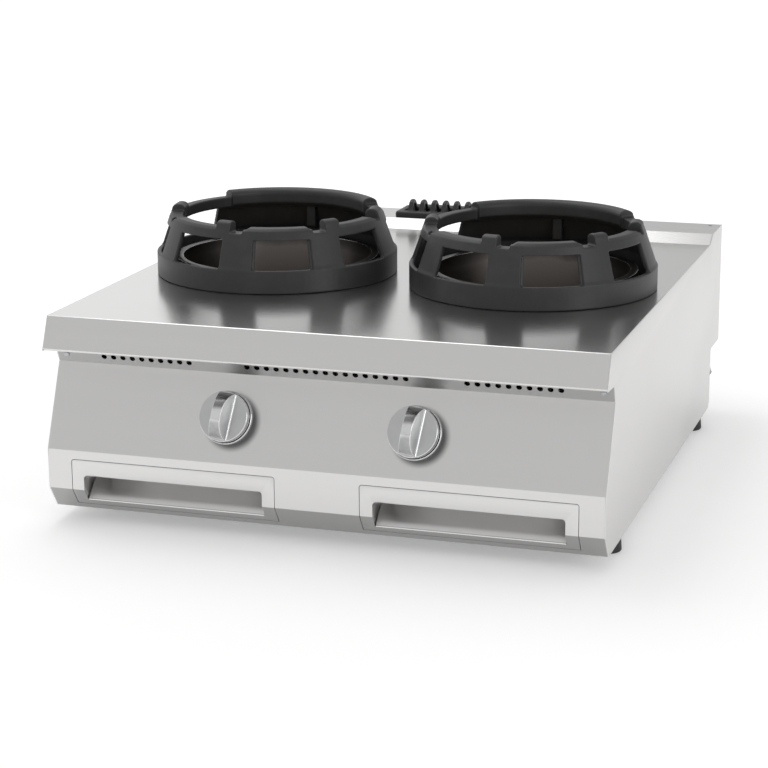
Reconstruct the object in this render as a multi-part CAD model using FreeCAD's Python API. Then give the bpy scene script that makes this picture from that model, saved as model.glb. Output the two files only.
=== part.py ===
import FreeCAD, Part
import math
import os

os.makedirs("parts", exist_ok=True)
V = FreeCAD.Vector

# Counter-top gas wok range with two burners. Millimetres. +X right, +Y to the rear, +Z up.
# The origin is on the floor, in the middle of the footprint with the knobs counted in.

# ---- Overall body -------------------------------------------------------------------------
WIDTH = 800.0
DEPTH = 900.0               # front lip to rear face, without the knobs
WORKTOP_Z = 300.0           # cooking surface above the floor
BODY_Z = 21.8               # underside of the body above the floor
WORKTOP_SHEET = 2.0
SHEET = 1.5
BEND = 1.0                  # inside radius of every fold
OVERCUT = 1.0               # how far a cutter runs past what it cuts

# ---- Front profile, from the lip's lowest edge back and down from the worktop --------------
LIP_SETBACK = 20.0
LIP_DROP = 46.5
RETURN_DEPTH = 41.8
RETURN_DROP = 48.6
RETURN_FLANGE = 28.0
BAND_FOOT_BACK = 52.3
BAND_FOOT_DROP = 72.7
KINK_BACK = 4.2
KINK_RISE = 89.7            # foot of the control panel above the body's underside
FASCIA_BACK = 4.5
FASCIA_RISE = 32.5          # foot of the fascia above the body's underside
CHAMFER_BACK = 27.1
BOTTOM_FLANGE = 35.0

# ---- Rear profile --------------------------------------------------------------------------
RISER_HEIGHT = 13.6
RISER_TOP_DEPTH = 88.0
RISER_FOOT_DEPTH = 116.0
RISER_APRON = 30.0
WORKTOP_UNDER_RISER = 16.0
REAR_STEP_DEPTH = 76.4
REAR_STEP_DROP = 180.7
REAR_CHAMFER = 9.0
REAR_FLANGE = 25.0

# ---- Vent band -----------------------------------------------------------------------------
VENT_HOLE_R = 4.0
VENT_PITCH = 14.25
VENT_SIDE_COUNT = 10
VENT_SIDE_INSET = 72.25     # last hole of the row in from the side
VENT_MIDDLE_COUNT = 17
VENT_ALONG_BAND = 0.51      # place of the row across the band, 0 at its top edge
BAND_SCREW_INSET = 15.0

# ---- Controls ------------------------------------------------------------------------------
KNOB_OFF_BURNER = 65.0      # knob's axis from its burner's, toward the middle
KNOB_R = 35.0
KNOB_FACE = 23.0            # knob face above the panel
KNOB_BACK = 4.8             # knob rim above the panel at rest
KNOB_WALL = 2.5
KNOB_PUSH = 3.0
FIN_LENGTH = 66.0
FIN_HEIGHT = 28.0
FIN_FRONT = 14.0
FIN_ROOT = 23.6
GRIP_TURN = 6.5             # degrees that the grips lean to the right at rest
FIN_ARC_R = (FIN_LENGTH ** 2 / 4 + FIN_HEIGHT ** 2) / (2 * FIN_HEIGHT)
BEZEL_R = 37.3
BEZEL_HEIGHT = 11.0
BEZEL_CLEAR = 0.6
BEZEL_BORE_R = 10.0
PANEL_BORE_R = 6.0
SPINDLE_R = 4.0
SPINDLE_CLEAR = 0.08
SPINDLE_FRONT = 17.0        # spindle end above the panel
SPINDLE_REAR = 44.0         # spindle end behind the panel
HUB_R = 8.5
VALVE_FRONT = 9.0           # valve body's ends behind the panel
VALVE_REAR = 58.0
VALVE_SIZE = 30.0
VALVE_CHAMBER_R = 9.0
VALVE_CHAMBER_DEPTH = 15.0
PLUNGER_R = 8.6
PLUNGER_LENGTH = 6.0
PLUNGER_FRONT = 11.0
VALVE_PORT_R = 8.0

# ---- Places across the range and up its front -----------------------------------------------
BODY_HEIGHT = WORKTOP_Z - BODY_Z
KINK_DROP = BODY_HEIGHT - KINK_RISE
FASCIA_DROP = BODY_HEIGHT - FASCIA_RISE
BURNER_X = WIDTH / 4
KNOB_X = BURNER_X - KNOB_OFF_BURNER
BAND_SCREW_X = WIDTH / 2 - BAND_SCREW_INSET

# The body is placed so that the whole footprint, knobs included, is centred on the origin.
PANEL_RUN = KINK_DROP - BAND_FOOT_DROP
PANEL_LEAN = BAND_FOOT_BACK - KINK_BACK
PANEL_SLANT = math.hypot(PANEL_RUN, PANEL_LEAN)
NORMAL = V(0, -PANEL_RUN / PANEL_SLANT, PANEL_LEAN / PANEL_SLANT)
PANEL_UP = V(0, PANEL_LEAN / PANEL_SLANT, PANEL_RUN / PANEL_SLANT)
KNOB_BACK_FROM_LIP = (BAND_FOOT_BACK + KINK_BACK) / 2
FIN_ARC_CENTRE = KNOB_FACE + FIN_HEIGHT - FIN_ARC_R
KNOB_OVERHANG = -FIN_ARC_CENTRE * NORMAL.y + FIN_ARC_R - KNOB_BACK_FROM_LIP
Y_FRONT = (KNOB_OVERHANG - DEPTH) / 2
Y_REAR = Y_FRONT + DEPTH
KNOB_Z = WORKTOP_Z - (BAND_FOOT_DROP + KINK_DROP) / 2
INNER_X = WIDTH / 2 - SHEET

# ---- Drip trays ----------------------------------------------------------------------------
TRAY_X0 = 61.5              # tray front's inner edge from the middle of the range
TRAY_SIDE_MARGIN = 36.5     # and its outer edge from the range's side
TRAY_X1 = WIDTH / 2 - TRAY_SIDE_MARGIN
TRAY_FRONT_TOP = BODY_Z + 76.2
TRAY_CUT_BOTTOM = BODY_Z + 7.7
TRAY_GAP = 0.8
TRAY_FOOT_GAP = 0.4
TRAY_CORNER_R = 3.5
GRIP_INSET_IN = 18.0
GRIP_INSET_OUT = 17.5
GRIP_TOP = BODY_Z + 54.7
GRIP_LIP = BODY_Z + 16.5
GRIP_CORNER_R = 6.0
POCKET_DEPTH = 41.0
POCKET_END_GAP = 1.2        # pocket plate to the cheek at each end
POCKET_RISE = 11.0          # pocket's roof above the grip opening
POCKET_BELLY = 13.0         # rise of the pocket plate at its lower turn
TRAY_LENGTH = 620.0
TRAY_BOTTOM = BODY_Z + 12.2
TRAY_TOP = BODY_Z + 68.2
TRAY_SIDE_INSET = 6.0
TRAY_SHEET = 1.2
RUNNER_WEB = BODY_Z + 30.2
RUNNER_SHELF = 14.0
SLIDE_CLEAR = 0.4

# ---- Wok rings -----------------------------------------------------------------------------
BURNER_BACK = 407.0         # burner's axis behind the lip
SEAT_GAP = 0.2
RING_MARGIN = 17.6          # ring to the middle line of the range, and to its side
RING_R = BURNER_X - RING_MARGIN
RING_SKIRT_H = 33.5
RING_SHOULDER_STEP = 2.9
RING_SHOULDER_R = RING_R - RING_SHOULDER_STEP
RING_SHOULDER_H = 38.5
RING_LEAN = 0.352
RING_WALL = 7.0
WINDOW_SILL = 34.0
WINDOW_HEAD = 76.0
WINDOW_CENTRE = -67.5
WINDOW_HALF = 13.3
WINDOW_REBATE_HALF = 14.5
REBATE_DEPTH = 3.5
SIDE_WINDOWS = ((-127.5, -98.4), (-36.7, -8.7), (188.0, 216.5), (13.0, 31.0), (145.0, 172.0))
RIM_INNER_R = RING_R - 40.4
RIM_TOP = 92.0
RIM_EDGE = 88.0
RIM_BEVEL = 5.0
LEDGE_TOP = 84.5
LEDGES = ((-96.0, -88.0), (-51.0, -42.5), (-145.5, -142.0), (-4.0, 1.0))
BEVELS = ((-88.0, -85.0), (-51.0, -53.5), (-142.0, -139.5), (-4.0, -7.0))
BEVEL_DROP = 4.4
LUGS = ((-103.5, -95.0), (-43.5, -35.0), (1.0, 12.0), (184.0, 195.5))
LUG_TOP = 101.0
LUG_SHOULDER = 94.0
LUG_STEPS = 4               # flats in the quarter turn over a lug's crest
LUG_INNER_R = RIM_INNER_R - 2.0
LUG_CREST_R = RIM_INNER_R + 8.0
RAMP = (195.5, 214.5)
RAMP_HIGH = 91.0
RAMP_LOW = 86.5
HOOD = (35.5, 140.5)
HOOD_TOP = 102.5
HOOD_CREST_R = RIM_INNER_R + 5.5
HOOD_UNDER = 80.0
HOOD_INNER_R = RIM_INNER_R - 5.0
RIB = (87.5, 93.0)
RIB_INNER_R = RIM_INNER_R + 13.0
RIB_TOP = 81.0

# ---- Burner wells --------------------------------------------------------------------------
WELL_RIM_R = RIM_INNER_R + 12.0
WELL_MOUTH_R = RIM_INNER_R + 1.0
WELL_RIM_H = 27.0
WELL_FLANGE_R = WELL_RIM_R + 14.0
WELL_WALL_R = WELL_MOUTH_R - 13.0
WELL_DEPTH = 60.0
WELL_HOLE_CLEAR = 16.0      # round the burner's head
WORKTOP_HOLE_R = WELL_RIM_R - 3.0
WELL_SCREW_R = WELL_RIM_R + 7.5

# ---- Burners -------------------------------------------------------------------------------
CAP_TOP_DROP = 22.0
CAP_EDGE_DROP = 30.0
CAP_R = 73.0
CAP_SKIRT_R = 58.5
CAP_SKIRT = 9.0
CAP_EDGE_TAPER = 3.0
PORT_COUNT = 24
PORT_WIDTH = 4.0
PORT_RISE = 3.0             # flame port's height above the cap's seat
HEAD_R = 72.0
HEAD_TOP_DROP = 38.0
HEAD_WALL = 12.0
BOWL_DROP = 80.0
BOWL_FLOOR_R = 38.0
BURNER_BOTTOM_DROP = 115.0
BURNER_FLOOR = 10.0
VENTURI_DROP = 91.0
VENTURI_R = 21.5
VENTURI_WALL = 4.0
BOSS_END = 95.0             # burner centre to the venturi joint
VENTURI_END = 215.0
VENTURI_MOUTH_R = 30.0
VENTURI_FLARE = 28.0
INJECTOR_GAP = 14.0
INJECTOR_LENGTH = 24.0
INJECTOR_AF = 14.0
INJECTOR_NOSE_R = 5.8
INJECTOR_TIP_R = 2.8
BRACKET_WIDTH = 60.0
BRACKET_SHEET = 3.0
BRACKET_FLANGE = 22.0
DIVIDER_SHEET = 1.5
PILOT_OUT = 79.0            # burner centre to the pilot, toward the middle of the range
PILOT_R = 4.0
PILOT_TIP_DROP = 36.0
PILOT_PORT_RISE = 10.0
PILOT_PORT_WALL = 1.0
PILOT_SLOT = 2.0
PILOT_TUBE_R = 2.0
PROBE_OUT = 72.0
PROBE_FORWARD = 22.0
PROBE_R = 2.0
PROBE_TIP_DROP = 42.0
PROBE_LEAD_R = 1.5
PROBE_LEAD_RISE = 5.0
PILOT_PORT_SIDE = 13.0      # pilot and probe ports beside and below the valve's outlet
PROBE_PORT_SIDE = 8.0
PROBE_PORT_DOWN = 9.0
TUBE_R = 5.0
TUBE_BEND = 14.0
SHIELD_BACK = 105.0         # heat shield behind the front lip
SHIELD_BOTTOM = WORKTOP_Z - 92.0

# ---- Gas supply ----------------------------------------------------------------------------
PIPE_R = 10.65
PIPE_BORE_R = 8.0
MANIFOLD_BEHIND = 42.0
MANIFOLD_BELOW = 31.0
MANIFOLD_OVERRUN = 35.0     # past the left knob's axis
MANIFOLD_LEFT = -KNOB_X - MANIFOLD_OVERRUN
INLET_INSET = 18.0
INLET_X = WIDTH / 2 - INLET_INSET
INLET_Z = BODY_Z + 50.2
INLET_BEND = 28.0
INLET_DROP_AT = 60.0        # ahead of the lower rear face
INLET_STUB = 45.0
SWEEP_LEAD = 0.01           # straight start of the pipe's sweep, cut off afterwards
INLET_THREAD_R = 10.48
INLET_THREAD = 18.0
INLET_HEX_AF = 27.0
POST_X = 30.0
POST_SHEET = 3.0
POST_WIDTH = 34.0

# ---- Flue ----------------------------------------------------------------------------------
GRILLE_HALF = 141.5
GRILLE_FRONT_FROM_REAR = 79.0
GRILLE_DEPTH = 66.0
GRILLE_BAR = 12.0
GRILLE_BAR_H = 9.0
GRILLE_EDGE_R = 4.0
FIN_PITCH = 19.4
FIN_COUNT = 13
FLUE_FIN_HEIGHT = 27.0
FLUE_FIN_SHELF = 14.0
FLUE_FIN_FOOT = 11.0
FLUE_FIN_CREST = 5.0
FLUE_CREST_FRONT = 10.8     # crest's ends behind the fin's front
FLUE_CREST_REAR = 18.9
FLUE_EASE = 5.4             # slanting corner at each end of the crest
FLUE_EASE_DROP = 3.0
FLUE_SHELF_REAR = 8.1       # shelf's end ahead of the fin's rear
FLUE_ARCH_LEG = 9.0         # legs of a fin, on the two long bars
FLUE_ARCH_WEB = 7.0         # metal over the arch under a fin
GRILLE_LUG = 5.0
GRILLE_CLEAR = 1.0
FLUE_SHEET = 1.2
FLUE_BOTTOM = WORKTOP_Z - 110.0

# ---- Feet and screws -----------------------------------------------------------------------
FOOT_INSET = 21.0
FOOT_BACK = 119.3           # front feet behind the lip
FOOT_AHEAD = 64.3           # rear feet ahead of the lower rear face
FOOT_X = WIDTH / 2 - FOOT_INSET
FOOT_R = 20.0
FOOT_TOP_R = 18.5
FOOT_EDGE_R = 3.0
FOOT_BOLT_R = 4.0
FOOT_BOLT_HEAD_R = 6.5
FOOT_BOLT_HEAD_Z = 6.0
FOOT_BOLT_HEAD_H = 5.0
FOOT_POCKET_R = 8.5
FOOT_BOLT_TOP = 34.0
NUT_R = 7.5
NUT_H = 6.5
BOLT_CLEAR = 0.3
SIDE_FLANGE = 48.0
SCREW_R = 2.0
SCREW_HEAD_R = 4.0
SCREW_HEAD_H = 2.4
SCREW_DOME_R = 1.7
SCREW_LENGTH = 9.0
BASE_SCREW_INSET = 58.0
BASE_SCREW_X = WIDTH / 2 - BASE_SCREW_INSET
BASE_SCREW_BACK = 45.0
JOIN_HOLE_INSET = 17.0
JOIN_HOLE_X = WIDTH / 2 - JOIN_HOLE_INSET
JOIN_HOLE_FROM_REAR = 17.0
JOIN_HOLE_R = 3.0

# ---- Places worked out from the sizes above ------------------------------------------------
BURNER_Y = Y_FRONT + BURNER_BACK
LOWER_REAR_Y = Y_REAR - REAR_STEP_DEPTH
FOOT_ROWS = (Y_FRONT + FOOT_BACK, LOWER_REAR_Y - FOOT_AHEAD)
WELL_HOLE_R = HEAD_R + WELL_HOLE_CLEAR
PAN_Z = BODY_Z + SHEET
PAN_TOP = PAN_Z + SHEET
KNOB_CENTRE = V(0, Y_FRONT + KNOB_BACK_FROM_LIP, KNOB_Z)
MANIFOLD = KNOB_CENTRE - NORMAL * MANIFOLD_BEHIND - PANEL_UP * MANIFOLD_BELOW
BRACKET_TOP = WORKTOP_Z - BURNER_BOTTOM_DROP
VENTURI_Z = WORKTOP_Z - VENTURI_DROP


# ---- Shape helpers -------------------------------------------------------------------------
def path_edges(points, radii):
    """Straight runs through the points, with a tangent arc of its own radius at each inner point."""
    edges = []
    start = points[0]
    for before, corner, after, radius in zip(points, points[1:], points[2:], radii):
        to_back = (before - corner).normalize()
        to_next = (after - corner).normalize()
        half = to_back.getAngle(to_next) / 2
        reach = radius / math.tan(half)
        first = corner + to_back * reach
        last = corner + to_next * reach
        centre = corner + (to_back + to_next).normalize() * (radius / math.sin(half))
        middle = centre + (corner - centre).normalize() * radius
        edges.append(Part.LineSegment(start, first).toShape())
        edges.append(Part.Arc(first, middle, last).toShape())
        start = last
    edges.append(Part.LineSegment(start, points[-1]).toShape())
    return edges


def offset_points(points, gap):
    """The line moved to the left of its own travel by gap, with mitred corners (2-D pairs)."""
    moved = []
    count = len(points)
    for i in range(count):
        normals = []
        for a, b in ((i - 1, i), (i, i + 1)):
            if 0 <= a and b < count:
                run = math.hypot(points[b][0] - points[a][0], points[b][1] - points[a][1])
                across = (points[a][1] - points[b][1]) / run
                along = (points[b][0] - points[a][0]) / run
                normals.append((across, along))
        n0 = normals[0]
        n1 = normals[-1]
        scale = gap / (1 + n0[0] * n1[0] + n0[1] * n1[1])
        x = points[i][0] + (n0[0] + n1[0]) * scale
        y = points[i][1] + (n0[1] + n1[1]) * scale
        moved.append((x, y))
    return moved


def fold_face(points, sheet, place):
    """Face of a folded sheet whose outside follows the points; the metal is on their left."""
    inner = offset_points(points, sheet)
    outer_radii = []
    inner_radii = []
    for a, b, c in zip(points, points[1:], points[2:]):
        turn = (b[0] - a[0]) * (c[1] - b[1]) - (b[1] - a[1]) * (c[0] - b[0])
        outer_radii.append(BEND + sheet if turn > 0 else BEND)
        inner_radii.append(BEND if turn > 0 else BEND + sheet)
    out_pts = [place(*p) for p in points]
    in_pts = [place(*p) for p in inner]
    edges = path_edges(out_pts, outer_radii)
    edges.append(Part.LineSegment(out_pts[-1], in_pts[-1]).toShape())
    edges += path_edges(in_pts[::-1], inner_radii[::-1])
    edges.append(Part.LineSegment(in_pts[0], out_pts[0]).toShape())
    return Part.Face(Part.Wire(Part.__sortEdges__(edges)))


def folded_x(points, sheet, x0, x1):
    """Folded sheet with its profile in (y, z), running along X."""
    return fold_face(points, sheet, lambda y, z: V(x0, y, z)).extrude(V(x1 - x0, 0, 0))


def polygon_face(points):
    return Part.Face(Part.makePolygon(list(points) + [points[0]]))


def spun(points, angle0=0.0, sweep=360.0):
    """Solid of a closed (radius, z) outline turned about Z, from angle0 through sweep degrees."""
    face = polygon_face([V(r, 0, z) for r, z in points])
    face.rotate(V(0, 0, 0), V(0, 0, 1), angle0)
    return face.revolve(V(0, 0, 0), V(0, 0, 1), sweep)


def box(x0, x1, y0, y1, z0, z1):
    return Part.makeBox(x1 - x0, y1 - y0, z1 - z0, V(x0, y0, z0))


def rod(start, direction, radius, length):
    return Part.makeCylinder(radius, length, start, direction)


def hexagon(start, direction, across_flats, length):
    """Hexagonal bar from start along direction, with two flats parallel to X."""
    corner = across_flats / math.sqrt(3)
    side = V(1, 0, 0)
    if abs(direction.dot(side)) > 0.9:
        side = V(0, 0, 1)
    up = direction.cross(side).normalize()
    side = up.cross(direction).normalize()
    ring = []
    for k in range(6):
        a = math.radians(60 * k)
        ring.append(start + side * (corner * math.cos(a)) + up * (corner * math.sin(a)))
    return polygon_face(ring).extrude(direction.normalize() * length)


def tube_along(points, radius, bend):
    """Round bar swept along straight runs joined by arcs of one radius."""
    spine = Part.Wire(path_edges(points, [bend] * (len(points) - 2)))
    heading = (points[1] - points[0]).normalize()
    section = Part.Wire([Part.Circle(points[0], heading, radius).toShape()])
    return spine.makePipeShell([section], True, True)


def joined(shapes):
    whole = shapes[0]
    for extra in shapes[1:]:
        whole = whole.fuse(extra)
    return whole.removeSplitter()


def one_sided(side, shape):
    """The shape as built on the right-hand side, or its mirror image on the left."""
    if side > 0:
        return shape
    return shape.mirror(V(0, 0, 0), V(1, 0, 0))


def save(name, shapes):
    if not isinstance(shapes, (list, tuple)):
        shapes = [shapes]
    solids = [solid for shape in shapes for solid in shape.Solids]
    made = solids[0] if len(solids) == 1 else Part.makeCompound(solids)
    if not made.isValid() or any(s.Volume < 1.0 for s in solids):
        print("check", name, "valid", made.isValid(), [round(s.Volume, 2) for s in solids])
    made.exportStep("parts/" + name + ".step")


def lip(back, drop):
    """Point of the front profile, from the lip's lowest edge back and from the worktop down."""
    return (Y_FRONT + back, WORKTOP_Z - drop)


def on_panel(x, out, along=0.0):
    """Point on a knob's axis at x: out from the panel's face, along up the panel."""
    return V(x, 0, 0) + KNOB_CENTRE + NORMAL * out + PANEL_UP * along


# ---- Body sheets ---------------------------------------------------------------------------
def front_line():
    return [lip(RETURN_DEPTH, RETURN_DROP), lip(BAND_FOOT_BACK, BAND_FOOT_DROP),
            lip(KINK_BACK, KINK_DROP), lip(FASCIA_BACK, FASCIA_DROP),
            (Y_FRONT + CHAMFER_BACK, BODY_Z)]


def rear_line():
    return [(LOWER_REAR_Y - REAR_CHAMFER, BODY_Z), (LOWER_REAR_Y, BODY_Z + REAR_CHAMFER),
            (LOWER_REAR_Y, WORKTOP_Z - REAR_STEP_DROP), (Y_REAR, WORKTOP_Z - REAR_STEP_DROP),
            (Y_REAR, WORKTOP_Z + RISER_HEIGHT), (Y_REAR - RISER_TOP_DEPTH, WORKTOP_Z + RISER_HEIGHT),
            (Y_REAR - RISER_FOOT_DEPTH, WORKTOP_Z)]


def side_panel():
    outline = [lip(LIP_SETBACK, 0), lip(0, LIP_DROP)] + front_line() + rear_line()
    plate = polygon_face([V(INNER_X, y, z) for y, z in outline]).extrude(V(SHEET, 0, 0))
    flange = box(INNER_X - SIDE_FLANGE, INNER_X, Y_FRONT + CHAMFER_BACK + BOTTOM_FLANGE,
                 LOWER_REAR_Y - REAR_CHAMFER - REAR_FLANGE, BODY_Z, PAN_Z)
    panel = joined([plate, flange])
    for y in FOOT_ROWS:
        hole = rod(V(FOOT_X, y, 0), V(0, 0, 1), FOOT_BOLT_R + BOLT_CLEAR, WORKTOP_Z / 2)
        panel = panel.cut(hole)
    return panel


def worktop():
    line = [(Y_REAR - RISER_FOOT_DEPTH + WORKTOP_UNDER_RISER, WORKTOP_Z), lip(LIP_SETBACK, 0),
            lip(0, LIP_DROP), lip(RETURN_DEPTH, RETURN_DROP),
            lip(RETURN_DEPTH + RETURN_FLANGE, RETURN_DROP)]
    top = folded_x(line, WORKTOP_SHEET, -INNER_X, INNER_X)
    for x in (-BURNER_X, BURNER_X):
        top = top.cut(rod(V(x, BURNER_Y, WORKTOP_Z / 2), V(0, 0, 1), WORKTOP_HOLE_R, WORKTOP_Z))
    for at in well_screw_places():
        top = top.cut(rod(at - V(0, 0, SCREW_LENGTH), V(0, 0, 1), SCREW_R, 2 * SCREW_LENGTH))
    return top


def riser():
    line = [(Y_REAR, WORKTOP_Z + RISER_HEIGHT - RISER_APRON), (Y_REAR, WORKTOP_Z + RISER_HEIGHT),
            (Y_REAR - RISER_TOP_DEPTH, WORKTOP_Z + RISER_HEIGHT), (Y_REAR - RISER_FOOT_DEPTH, WORKTOP_Z)]
    cap = folded_x(line, SHEET, -INNER_X, INNER_X)
    cap = cap.cut(box(-WIDTH, WIDTH, Y_FRONT, Y_REAR - RISER_TOP_DEPTH, 0, WORKTOP_Z))
    y0 = grille_front() + GRILLE_BAR
    y1 = grille_front() + GRILLE_DEPTH - GRILLE_BAR
    half = GRILLE_HALF - GRILLE_BAR
    cap = cap.cut(box(-half, half, y0, y1, WORKTOP_Z, WORKTOP_Z + 2 * RISER_HEIGHT))
    for x in (-JOIN_HOLE_X, JOIN_HOLE_X):
        start = V(x, Y_REAR - JOIN_HOLE_FROM_REAR, WORKTOP_Z)
        cap = cap.cut(rod(start, V(0, 0, 1), JOIN_HOLE_R, 2 * RISER_HEIGHT))
    return cap


def front_panel():
    line = [lip(RETURN_DEPTH + RETURN_FLANGE, RETURN_DROP)] + front_line()
    line.append((Y_FRONT + CHAMFER_BACK + BOTTOM_FLANGE, BODY_Z))
    panel = folded_x(line, SHEET, -INNER_X, INNER_X)
    for hole in vent_holes():
        panel = panel.cut(hole)
    for x in (-KNOB_X, KNOB_X):
        panel = panel.cut(rod(on_panel(x, SHEET), -NORMAL, PANEL_BORE_R, 3 * SHEET))
    top = TRAY_FRONT_TOP + TRAY_GAP
    cut = box(TRAY_X0 - TRAY_GAP, TRAY_X1 + TRAY_GAP, Y_FRONT, Y_FRONT + CHAMFER_BACK,
              TRAY_CUT_BOTTOM, top)
    cut = rounded_top(cut, TRAY_CORNER_R + TRAY_GAP)
    panel = panel.cut(cut).cut(one_sided(-1, cut))
    for at, out in band_screw_places():
        panel = panel.cut(rod(at + out * SCREW_LENGTH, -out, SCREW_R, 2 * SCREW_LENGTH))
    for x, y in base_screw_places()[:2]:
        panel = panel.cut(rod(V(x, y, 0), V(0, 0, 1), SCREW_R, PAN_TOP + OVERCUT))
    return panel


def rounded_top(block, radius):
    """Rounds the two upper edges that run along Y."""
    top = block.BoundBox.ZMax
    edges = []
    for edge in block.Edges:
        ends = edge.BoundBox
        if ends.ZMin > top - 0.01 and ends.XLength < 0.01:
            edges.append(edge)
    return block.makeFillet(radius, edges)


def band_frame():
    """Middle of the vent row at x = 0, and the band's outward direction."""
    y0, z0 = lip(RETURN_DEPTH, RETURN_DROP)
    y1, z1 = lip(BAND_FOOT_BACK, BAND_FOOT_DROP)
    run = math.hypot(y1 - y0, z1 - z0)
    out = V(0, (z1 - z0) / run, (y0 - y1) / run)
    return V(0, y0 + (y1 - y0) * VENT_ALONG_BAND, z0 + (z1 - z0) * VENT_ALONG_BAND), out


def vent_places():
    middle = [(k - (VENT_MIDDLE_COUNT - 1) / 2) * VENT_PITCH for k in range(VENT_MIDDLE_COUNT)]
    outermost = WIDTH / 2 - VENT_SIDE_INSET
    side = [outermost - k * VENT_PITCH for k in range(VENT_SIDE_COUNT)]
    return middle + side + [-x for x in side]


def vent_holes():
    at, out = band_frame()
    start = at + out * SHEET
    return [rod(start + V(x, 0, 0), -out, VENT_HOLE_R, 3 * SHEET) for x in vent_places()]


def upper_back_panel():
    line = [(LOWER_REAR_Y, WORKTOP_Z - REAR_STEP_DROP), (Y_REAR, WORKTOP_Z - REAR_STEP_DROP),
            (Y_REAR, WORKTOP_Z + RISER_HEIGHT - RISER_APRON)]
    return folded_x(line, SHEET, -INNER_X, INNER_X)


def lower_back_panel():
    line = [(LOWER_REAR_Y - REAR_CHAMFER - REAR_FLANGE, BODY_Z), (LOWER_REAR_Y - REAR_CHAMFER, BODY_Z),
            (LOWER_REAR_Y, BODY_Z + REAR_CHAMFER), (LOWER_REAR_Y, WORKTOP_Z - REAR_STEP_DROP)]
    panel = folded_x(line, SHEET, -INNER_X, INNER_X)
    start = V(INLET_X, LOWER_REAR_Y - 3 * SHEET, INLET_Z)
    panel = panel.cut(rod(start, V(0, 1, 0), PIPE_R + BOLT_CLEAR, 6 * SHEET))
    for x, y in base_screw_places()[2:]:
        panel = panel.cut(rod(V(x, y, 0), V(0, 0, 1), SCREW_R, PAN_TOP + OVERCUT))
    return panel


def base_pan():
    pan = box(-INNER_X, INNER_X, Y_FRONT + CHAMFER_BACK + BOTTOM_FLANGE / 2,
              LOWER_REAR_Y - REAR_CHAMFER - REAR_FLANGE / 2, PAN_Z, PAN_TOP)
    for x, y in foot_places():
        pan = pan.cut(rod(V(x, y, 0), V(0, 0, 1), FOOT_BOLT_R + BOLT_CLEAR, WORKTOP_Z / 2))
    for x, y in base_screw_places():
        pan = pan.cut(rod(V(x, y, 0), V(0, 0, 1), SCREW_R, WORKTOP_Z / 2))
    return pan


def centre_divider():
    """Upright sheet between the two burner bays, standing on the base and carrying the worktop."""
    y0 = Y_FRONT + SHIELD_BACK + SHEET
    y1 = LOWER_REAR_Y - REAR_CHAMFER - REAR_FLANGE / 2
    half = DIVIDER_SHEET / 2
    sheet = box(-half, half, y0, y1, PAN_TOP, WORKTOP_Z - WORKTOP_SHEET)
    foot = box(-half, RUNNER_SHELF, y0, y1, PAN_TOP, PAN_TOP + DIVIDER_SHEET)
    under = WORKTOP_Z - WORKTOP_SHEET
    head = box(-half, RUNNER_SHELF, y0, Y_REAR - RISER_FOOT_DEPTH, under - DIVIDER_SHEET, under)
    return joined([sheet, foot, head])


def heat_shield():
    """Sheet hung from the worktop between the burners and the valves."""
    y = Y_FRONT + SHIELD_BACK
    under = WORKTOP_Z - WORKTOP_SHEET
    line = [(y, SHIELD_BOTTOM), (y, under), (y - RUNNER_SHELF, under)]
    return folded_x(line, SHEET, -INNER_X, INNER_X)


# ---- Feet and screws -----------------------------------------------------------------------
def foot_places():
    return [(x, y) for y in FOOT_ROWS for x in (-FOOT_X, FOOT_X)]


def feet():
    made = []
    for x, y in foot_places():
        foot = Part.makeCone(FOOT_R, FOOT_TOP_R, BODY_Z)
        foot = foot.makeFillet(FOOT_EDGE_R, [e for e in foot.Edges if e.BoundBox.ZMax < 1])
        foot.translate(V(x, y, 0))
        pocket_top = FOOT_BOLT_HEAD_Z + FOOT_BOLT_HEAD_H
        start = V(x, y, -OVERCUT)
        foot = foot.cut(rod(start, V(0, 0, 1), FOOT_POCKET_R, pocket_top + OVERCUT))
        foot = foot.cut(rod(start, V(0, 0, 1), FOOT_BOLT_R + BOLT_CLEAR, BODY_Z + 2 * OVERCUT))
        made.append(foot)
    return made


def foot_bolts():
    made = []
    for x, y in foot_places():
        start = V(x, y, FOOT_BOLT_HEAD_Z)
        head = hexagon(start, V(0, 0, 1), 2 * FOOT_BOLT_HEAD_R, FOOT_BOLT_HEAD_H)
        shank = rod(start, V(0, 0, 1), FOOT_BOLT_R, FOOT_BOLT_TOP - FOOT_BOLT_HEAD_Z)
        nut = hexagon(V(x, y, PAN_TOP), V(0, 0, 1), 2 * NUT_R, NUT_H)
        made.append(joined([head, shank, nut]))
    return made


def screw(seat, out):
    """Domed screw with its head on seat, its shank running against out."""
    head = rod(seat, out, SCREW_HEAD_R, SCREW_HEAD_H)
    rim = []
    for edge in head.Edges:
        height = (edge.BoundBox.Center - seat).dot(out)
        if abs(height - SCREW_HEAD_H) < 0.01:
            rim.append(edge)
    head = head.makeFillet(SCREW_DOME_R, rim)
    return joined([head, rod(seat, -out, SCREW_R, SCREW_LENGTH)])


def band_screw_places():
    at, out = band_frame()
    return [(at + V(x, 0, 0), out) for x in (-BAND_SCREW_X, BAND_SCREW_X)]


def base_screw_places():
    front = Y_FRONT + BASE_SCREW_BACK
    rear = LOWER_REAR_Y - REAR_CHAMFER - REAR_FLANGE / 4
    return [(x, y) for y in (front, rear) for x in (-BASE_SCREW_X, BASE_SCREW_X)]


def well_screw_places():
    places = []
    for x in (-BURNER_X, BURNER_X):
        for k in range(4):
            a = math.radians(45 + 90 * k)
            y = BURNER_Y + WELL_SCREW_R * math.sin(a)
            places.append(V(x + WELL_SCREW_R * math.cos(a), y, WORKTOP_Z + SHEET))
    return places


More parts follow.
